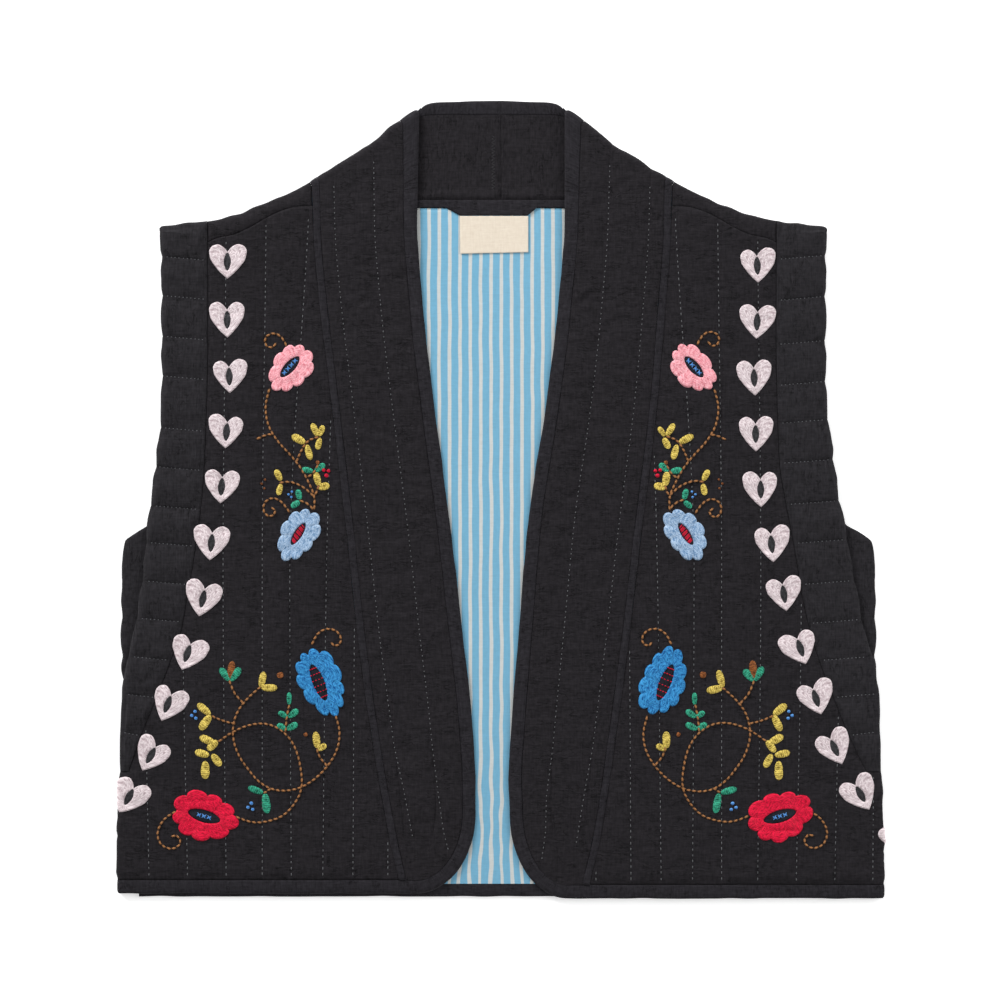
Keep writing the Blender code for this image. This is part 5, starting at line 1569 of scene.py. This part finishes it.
# each group is (starts, ends, radius, rise, sink, onto), and starts and ends are (reach, height)
def stitches(name, side, groups, material, rings=6, facets=6):
    points, faces, flats, base = [], [], [], 0
    for starts, ends, radius, rise, sink, onto in groups:
        if not len(starts):
            continue
        starts, ends = np.array(starts, float), np.array(ends, float)
        share = np.linspace(0.0, 1.0, rings)
        way = starts[:, None, :] + (ends - starts)[:, None, :] * share[None, :, None]
        proud = rise * np.sin(math.pi * share) ** 0.7 - sink * (1 - np.sin(math.pi * share) ** 0.6)
        middle = onto(side, way[..., 0], way[..., 1], proud[None, :] + 0 * way[..., 0])
        along = middle[:, -1] - middle[:, 0]
        along /= np.maximum(np.linalg.norm(along, axis=1, keepdims=True), 1e-9)
        higher = onto(side, way[..., 0], way[..., 1], proud[None, :] + 1.0 + 0 * way[..., 0])
        up = higher - middle
        up /= np.maximum(np.linalg.norm(up, axis=2, keepdims=True), 1e-9)
        across = np.cross(along[:, None, :], up)
        angle = np.linspace(0, 2 * math.pi, facets, endpoint=False)
        thick = radius * mm * (0.25 + 0.75 * np.sin(math.pi * share) ** 0.5)
        turns = angle[None, None, :, None]
        ring = across[:, :, None] * np.cos(turns) + up[:, :, None] * np.sin(turns)
        solid = middle[:, :, None] + ring * thick[None, :, None, None]
        solid[..., 2] = np.maximum(solid[..., 2], 0.0)
        count = len(starts)
        index = base + np.arange(count * rings * facets).reshape(count, rings, facets)
        after = np.roll(index, -1, axis=2)
        walls = np.stack((index[:, :-1], after[:, :-1], after[:, 1:], index[:, 1:]), -1).reshape(-1, 4)
        caps = []
        for row, flip in ((0, True), (rings - 1, False)):
            for k in range(facets // 2 - 1):
                quad = index[:, row][:, [k, k + 1, facets - 2 - k, facets - 1 - k]]
                caps.append(quad[:, ::-1] if flip else quad)
        faces.append(np.concatenate([walls[:, ::-1]] + [cap[:, ::-1] for cap in caps]))
        points.append(solid.reshape(-1, 3))
        spin = np.broadcast_to(angle[None, None, :], (count, rings, facets))
        place = np.broadcast_to((share - 0.5)[None, :, None], spin.shape)
        flats.append(np.stack((place, spin), -1).reshape(-1, 2) * mm)
        base += count * rings * facets
    mesh = bpy.data.meshes.new(name)
    fillMesh(mesh, np.concatenate(points), np.concatenate(faces), np.concatenate(flats))
    return newPiece(name, mesh, material)


def runOf(reach, height):  # the way along a line of points
    return np.concatenate(([0.0], np.cumsum(np.hypot(np.diff(reach), np.diff(height)))))


def runningStitches(reach, height, pitch, share, luck):  # even stitches along a line given by many points
    run = runOf(reach, height)
    first = np.arange(pitch * 0.5, run[-1] - pitch, pitch)
    first = first + luck.uniform(-0.08, 0.08, len(first)) * pitch
    last = first + share * pitch * luck.uniform(0.85, 1.15, len(first))
    return [np.stack((np.interp(at, run, reach), np.interp(at, run, height)), -1) for at in (first, last)]


running = {
    "pitch": 4.4, "share": 0.62, "radius": 0.33, "sink": 0.3,
    "collarPitch": 3.9, "collarShare": 0.42, "bandPitch": 2.9, "bandShare": 0.45,
    "zigzagPitch": 1.3, "zigzagNear": 4.1, "zigzagFar": 7.4,
}
# where the two lines on each collar band run into the lower corner, from the bottom up
collarEnds = {
    "left": {0.35: [(31.8, 35.0), (35.9, 51.0), (40.0, 81.0)], 0.83: [(58.4, 45.0), (65.2, 81.0)]},
    "right": {0.35: [(36.6, 28.0), (39.6, 50.0), (40.4, 78.0)], 0.83: [(62.0, 40.0), (68.2, 78.0)]},
}


def makeNeckZigzag():
    height = np.arange(523.0, 566.0, running["zigzagPitch"])
    odd = np.arange(len(height)) % 2
    reach = vest["openingLine"] + mix(running["zigzagNear"], running["zigzagFar"], odd)
    spots = np.stack((reach, height), -1)

    def ontoNeck(side, reach, height, proud):
        lift = neckRipple(sign[side] * reach, height) + proud
        return lowerPoints(side, reach, height, vest["bandWall"], lift)[1]

    groups = [(spots[:-1], spots[1:], 0.24, 0.1, 0.12, ontoNeck)]
    stitches("neckZigzag", "left", groups, duskRunning, rings=4, facets=4)


def makeRunning(side):
    luck = np.random.default_rng(501 + sign[side])
    groups, dim = [], []
    radius, sink, underarm, gap = running["radius"], running["sink"], vest["underarm"], vest["gap"]
    for line in quiltLines:
        height = np.linspace(vest["frontHem"][side] + vest["bindingWidth"] + 1, 508, 400)
        reach = line(height)
        inner = tapeOutside(side, height) + 1.2
        fold = sideStart(side, height, vest["shellWall"])
        outer = np.where(height < underarm, fold + 4.5, armholeSeam[side](height) - 1.0)
        top = shoulderSeam(np.clip(reach, 133, 211)) - 1
        inside = (reach > inner) & (reach < outer) & (height < top)
        if inside.sum() > 4:
            ends = runningStitches(reach[inside], height[inside], running["pitch"], running["share"], luck)
            groups.append((*ends, radius, 0.3, sink, ontoFront))
    rows = edgeRows(side)
    pairs = zip(rows["seam"], rows["edge"])
    inner = [seam + (seam - edge) * gap / vest["bindingWidth"] for seam, edge in pairs]
    outer = (tapeLine[side](rows["tape"]) - vest["tapeWidth"] / 2 - gap, rows["tape"])
    foldEnds = collarBack["seam"][0][0] + gap, collarBack["neck"][0][0] - gap
    for at in collarShares:
        reach, height = (mix(near, far, at) for near, far in zip(inner, outer))
        foldReach = mix(*foldEnds, at)
        foldHeight, _ = topFold(side, foldReach, vest["bandWall"])
        lowEnd = np.array(collarEnds[side][at])
        above = height > lowEnd[-1, 1] + 34
        reach = np.concatenate((lowEnd[:, 0], reach[above], [mix(reach[-1], foldReach, 0.85)]))
        height = np.concatenate((lowEnd[:, 1], height[above], [mix(height[-1], foldHeight, 0.85)]))
        ends = runningStitches(reach, height, running["collarPitch"], running["collarShare"], luck)
        groups.append((*ends, radius, 0.34, sink, ontoCollar))
    stitches(f"{side}RunningStitches", side, groups, runningThread, rings=4, facets=4)
    for step in range(1, armhole["lastLine"] + 1):
        share = np.linspace(0.04, 0.95, 60)
        height = armholeLine(side, step, share)
        fold = sideStart(side, height, vest["bandWall"])
        edge = np.where(height < 158, fold + 3, np.minimum(bandEdgeFront[side](height), fold))
        reach = mix(armholeSeam[side](height), edge, share)
        ends = runningStitches(reach, height, running["bandPitch"], running["bandShare"], luck)
        dim.append((*ends, radius, 0.22, sink, ontoBand))
    stitches(f"{side}BandStitches", side, dim, dimThread, rings=4, facets=4)


# the sprays: stems as lines of reach and height, each leaf as base, direction, length and thread

stems = {
    "curlOverPink": [(152, 410), (156, 417), (162, 420), (168, 417), (168, 411), (163, 409), (160, 413)],
    "pinkToSky": [(164, 378), (167, 365), (165, 351), (158, 339), (149, 329), (141, 319), (135, 308),
                  (131, 298), (131, 288)],
    "twigOut": [(162, 344), (168, 343), (174, 340)],
    "twigIn": [(145, 324), (141, 333), (136, 340), (128, 343)],
    "sproutIn": [(137, 312), (132, 316), (129, 322)],
    "budIn": [(131, 299), (129, 303), (128, 307)],
    "armOut": [(131, 299), (139, 306), (149, 310), (157, 309)],
    "armLow": [(132, 289), (137, 294), (143, 296)],
    "curlOverSky": [(150, 286), (156, 294), (163, 297), (169, 293), (169, 286), (164, 283), (160, 287),
                    (164, 290)],
    "curlOverBlue": [(133, 188), (129, 196), (122, 200), (114, 198), (111, 191), (115, 187), (119, 190)],
    "blueDown": [(115, 137), (112, 124), (114, 111), (121, 99), (131, 89), (144, 82), (158, 81),
                 (170, 86), (180, 97),
                 (188, 110), (191, 124), (188, 138), (180, 149), (170, 158)],
    "crossUp": [(190, 62), (181, 58.5), (171, 57.5), (156, 62), (146, 72), (141, 84), (142, 99),
                (146, 113), (154, 124), (165, 130),
                (178, 130), (191, 125), (203, 117)],
    "twigBlue": [(121, 99), (127, 106), (129, 113)],
    "twigUpper": [(183, 145), (190, 153), (194, 163)],
    "twigSide": [(190, 131), (199, 133), (208, 137)],
    "twigLeafy": [(153, 124), (152, 135), (150, 145)],
    "twigLow": [(163, 83), (169, 79)],
    "curlOut": [(234, 66), (243, 60), (248, 50), (245, 41), (237, 38), (231, 42), (233, 48), (238, 47)],
}
leaves = [  # thread, reach and height of the base, direction, length, width
    ("yellow", 129, 343, 62, 12, 5.6), ("yellow", 128, 343, 118, 9.5, 5.0),
    ("yellow", 127, 342, -70, 10, 5.4),
    ("yellow", 138, 338, 35, 13.5, 6.4), ("yellow", 137, 337, -100, 13.5, 6.2),
    ("green", 131, 317, 140, 10.5, 5.8),
    ("green", 132, 317, 10, 9.5, 5.6), ("yellow", 128, 306, 80, 12, 6.2),
    ("yellow", 129, 305, 172, 10.5, 6.2),
    ("yellow", 156, 310, 58, 10.5, 5.6), ("yellow", 156, 308, -82, 9.5, 5.4),
    ("green", 142, 296, 75, 9, 5.2),
    ("green", 142, 295, -40, 9, 5.2), ("green", 194, 162, 128, 13.5, 6.6),
    ("green", 194, 162, 52, 13.5, 6.6),
    ("brown", 194, 163, 92, 15.5, 6.2), ("yellow", 171, 157, 108, 14.5, 6.2),
    ("yellow", 171, 157, 188, 14.5, 6.4),
    ("yellow", 208, 137, 38, 14.5, 6.6), ("yellow", 208, 137, -62, 15, 7.0),
    ("green", 150, 144, 94, 11, 4.2),
    ("green", 151, 135, 148, 10.5, 5.6), ("green", 151, 135, 35, 9, 5.4),
    ("green", 152, 126, 152, 10.5, 5.8),
    ("green", 152, 126, 28, 9, 5.6), ("yellow", 129, 112, 82, 14.5, 6.4), ("yellow", 129, 111, 150, 9, 5.6),
    ("yellow", 203, 118, -48, 12, 6.0), ("yellow", 205, 116, 30, 14, 6.4), ("yellow", 209, 107, 8, 13, 6.4),
    ("yellow", 207, 108, -122, 13, 6.4), ("yellow", 212, 103, -85, 15.5, 7.0),
    ("green", 169, 79, 20, 14, 6.2),
    ("green", 168, 79, -98, 17, 7.0), ("brown", 156, 164, 80, 5.6, 5.6), ("brown", 137, 121, 60, 3.6, 3.6),
    ("brown", 129, 322, 95, 3.4, 3.4),
]
knots = [  # thread, reach, height, radius
    ("crimson", 122.5, 314, 1.5), ("crimson", 121, 317.5, 1.3), ("crimson", 124.5, 318, 1.3),
    ("azure", 148, 302, 0.9),
    ("azure", 150.5, 300, 0.9), ("azure", 148.5, 298, 0.9), ("brown", 168, 311, 0.9),
    ("brown", 170.5, 308, 0.9),
    ("brown", 168.5, 304.5, 0.9), ("azure", 219.5, 139.5, 1.2), ("azure", 222, 136.5, 1.2),
    ("azure", 219, 134.5, 1.2),
    ("azure", 178, 71.5, 1.3), ("azure", 180.5, 68.5, 1.2), ("azure", 177, 67, 1.2),
]
vine = {"pitch": 4.1, "radius": 0.76, "lean": 9.0, "overlap": 0.12, "rise": 0.35, "sink": 0.5}
leafShape = {
    "thick": 0.9, "size": 0.88, "rowStep": 1.5, "rowRise": 0.16, "veinDepth": 0.15, "veinWidth": 0.12,
}


def smoothWay(spots):  # many even points along a soft curve through the spots
    spots = np.array(spots, float)
    padded = np.concatenate((2 * spots[:1] - spots[1:2], spots, 2 * spots[-1:] - spots[-2:-1]))
    t = np.linspace(0, 1, 12, endpoint=False)[:, None]
    rows = []
    for a, b, c, d in zip(padded, padded[1:], padded[2:], padded[3:]):
        square, cube = (2 * a - 5 * b + 4 * c - d) * t ** 2, (3 * b - a - 3 * c + d) * t ** 3
        rows.append(0.5 * (2 * b + (c - a) * t + square + cube))
    rows.append(spots[-1:])
    return np.concatenate(rows)


def makeLeaf(side, reach, height, direction, length, width, luck):
    length = leafShape["size"] * length * luck.uniform(0.94, 1.06)
    spot = {"reach": reach, "height": height, "turn": direction + luck.uniform(-8, 8) - 90}
    wide = leafShape["size"] * width * luck.uniform(0.94, 1.08) / 2
    t = stops(0.0, 1.0, 1.0 / (20))[:, None]
    w = np.linspace(-1.0, 1.0, 9)[None, :]
    belly = np.maximum(1 - np.abs(2 * t - 1) ** 2.5, 0.012) ** 0.5 * (0.86 + 0.2 * t)
    teeth = 1 + 0.05 * np.sin(2 * math.pi * t * length / leafShape["rowStep"]) * np.abs(w) ** 3
    u, v = wide * belly * teeth * w, length * t + 0 * w
    rows = np.cos(2 * math.pi * (v - 0.5 * np.abs(u)) / leafShape["rowStep"])
    rows = leafShape["rowRise"] * rows * (1 - w * w)
    vein = leafShape["veinDepth"] * np.exp(-((w / leafShape["veinWidth"]) ** 2))
    proud = leafShape["thick"] * np.sqrt(1.03 - w * w) * belly ** 0.5 + rows - vein
    return sewnPatch(side, u, v, spot, np.maximum(proud, 0.02), v, u)


def makeSprays(side):
    luck = np.random.default_rng(601 + sign[side])
    groups = []
    for spots in stems.values():
        way = smoothWay(spots) + luck.uniform(-0.7, 0.7, 2)
        run = runOf(way[:, 0], way[:, 1])
        first = np.linspace(0.0, run[-1], max(2, int(round(run[-1] / vine["pitch"])) + 1))
        ends = np.stack([np.interp(first, run, way[:, i]) for i in (0, 1)], -1)
        step = ends[1:] - ends[:-1]
        sideways = np.stack((-step[:, 1], step[:, 0]), -1) * math.sin(math.radians(vine["lean"])) / 2
        over = vine["overlap"] * step
        pair = ends[:-1] - sideways - over, ends[1:] + sideways + over
        groups.append((*pair, vine["radius"], vine["rise"], vine["sink"], ontoFront))
    stitches(f"{side}Vines", side, groups, vineThread, rings=7)
    patches, dots = {}, {}
    for thread, *leaf in leaves:
        patches.setdefault(thread, []).append(makeLeaf(side, *leaf, luck))
    for thread, made in patches.items():
        clothPiece(f"{side}{thread.capitalize()}Leaves", made, threads[thread])
    for thread, reach, height, radius in knots:
        middle, away = np.array([reach, height]), np.array([radius, 0.3 * radius])
        dots.setdefault(thread, []).append(([middle - away], [middle + away], radius, 0.3, 0.1, ontoFront))
    for thread, groups in dots.items():
        stitches(f"{side}{thread.capitalize()}Knots", side, groups, threads[thread], rings=7, facets=8)


for side in sides:
    makeHearts(side)
    marks = {}
    for number, flower in enumerate(flowers):
        starts, ends = makeFlower(side, flower, 700 + 10 * number)
        marks.setdefault(flower["marksThread"], []).append((starts, ends, 0.42, 0.55, -0.3, ontoFront))
    for thread, groups in marks.items():
        stitches(f"{side}{thread.capitalize()}Marks", side, groups, threads[thread])
    makeSprays(side)
    makeRunning(side)
    if side == "left":
        makeNeckZigzag()
    print(side, "embroidery made")

# floor and light

studio = {
    "floor": 4.0, "floorColour": (0.95, 0.95, 0.95, 1), "floorGlow": 0.45, "floorDrop": 0.2,
    "zenith": 0.2, "horizon": 0.8, "key": 104.0, "fill": 40.0,
}


def makeStudio():
    mesh = bpy.data.meshes.new("floor")
    half = studio["floor"]
    corners = [(-half, -half, 0), (half, -half, 0), (half, half, 0), (-half, half, 0)]
    mesh.from_pydata(corners, [], [(0, 1, 2, 3)])
    paint = bpy.data.materials.new("floorPaint")
    paint.use_nodes = True
    shader = paint.node_tree.nodes["Principled BSDF"]
    shader.inputs["Base Color"].default_value = studio["floorColour"]
    shader.inputs["Emission Color"].default_value = (1, 1, 1, 1)
    shader.inputs["Emission Strength"].default_value = studio["floorGlow"]
    shader.inputs["Roughness"].default_value = 0.9
    mesh.materials.append(paint)
    floor = bpy.data.objects.new("floor", mesh)
    floor.location.z = -studio["floorDrop"] * mm
    bpy.context.scene.collection.objects.link(floor)
    floor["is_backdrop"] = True
    world = bpy.data.worlds.new("studio")
    world.use_nodes = True
    add, link, maths = nodeTools(world.node_tree)
    split = addSplit(add, link, add("ShaderNodeTexCoord").outputs["Generated"])
    background = world.node_tree.nodes["Background"]
    background.inputs["Color"].default_value = (1, 1, 1, 1)
    brightness = addRamp(add, link, split["Z"], 0.0, 1.0, studio["horizon"], studio["zenith"])
    link(brightness, background.inputs["Strength"])
    bpy.context.scene.world = world
    for name, place, size, power in (
        ("keyLight", (-1.9, 2.2, 1.3), 1.3, studio["key"]),
        ("fillLight", (2.3, 0.5, 1.4), 1.6, studio["fill"]),
    ):
        lamp = bpy.data.lights.new(name, "AREA")
        lamp.size = size
        lamp.energy = power
        item = bpy.data.objects.new(name, lamp)
        item.location = place
        item.rotation_euler = (-item.location).to_track_quat("-Z", "Y").to_euler()
        bpy.context.scene.collection.objects.link(item)
    bpy.context.scene.view_settings.view_transform = "Standard"


makeStudio()
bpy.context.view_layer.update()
triangles = sum(len(face.vertices) - 2 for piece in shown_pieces() for face in piece.data.polygons)
print("triangles", triangles)
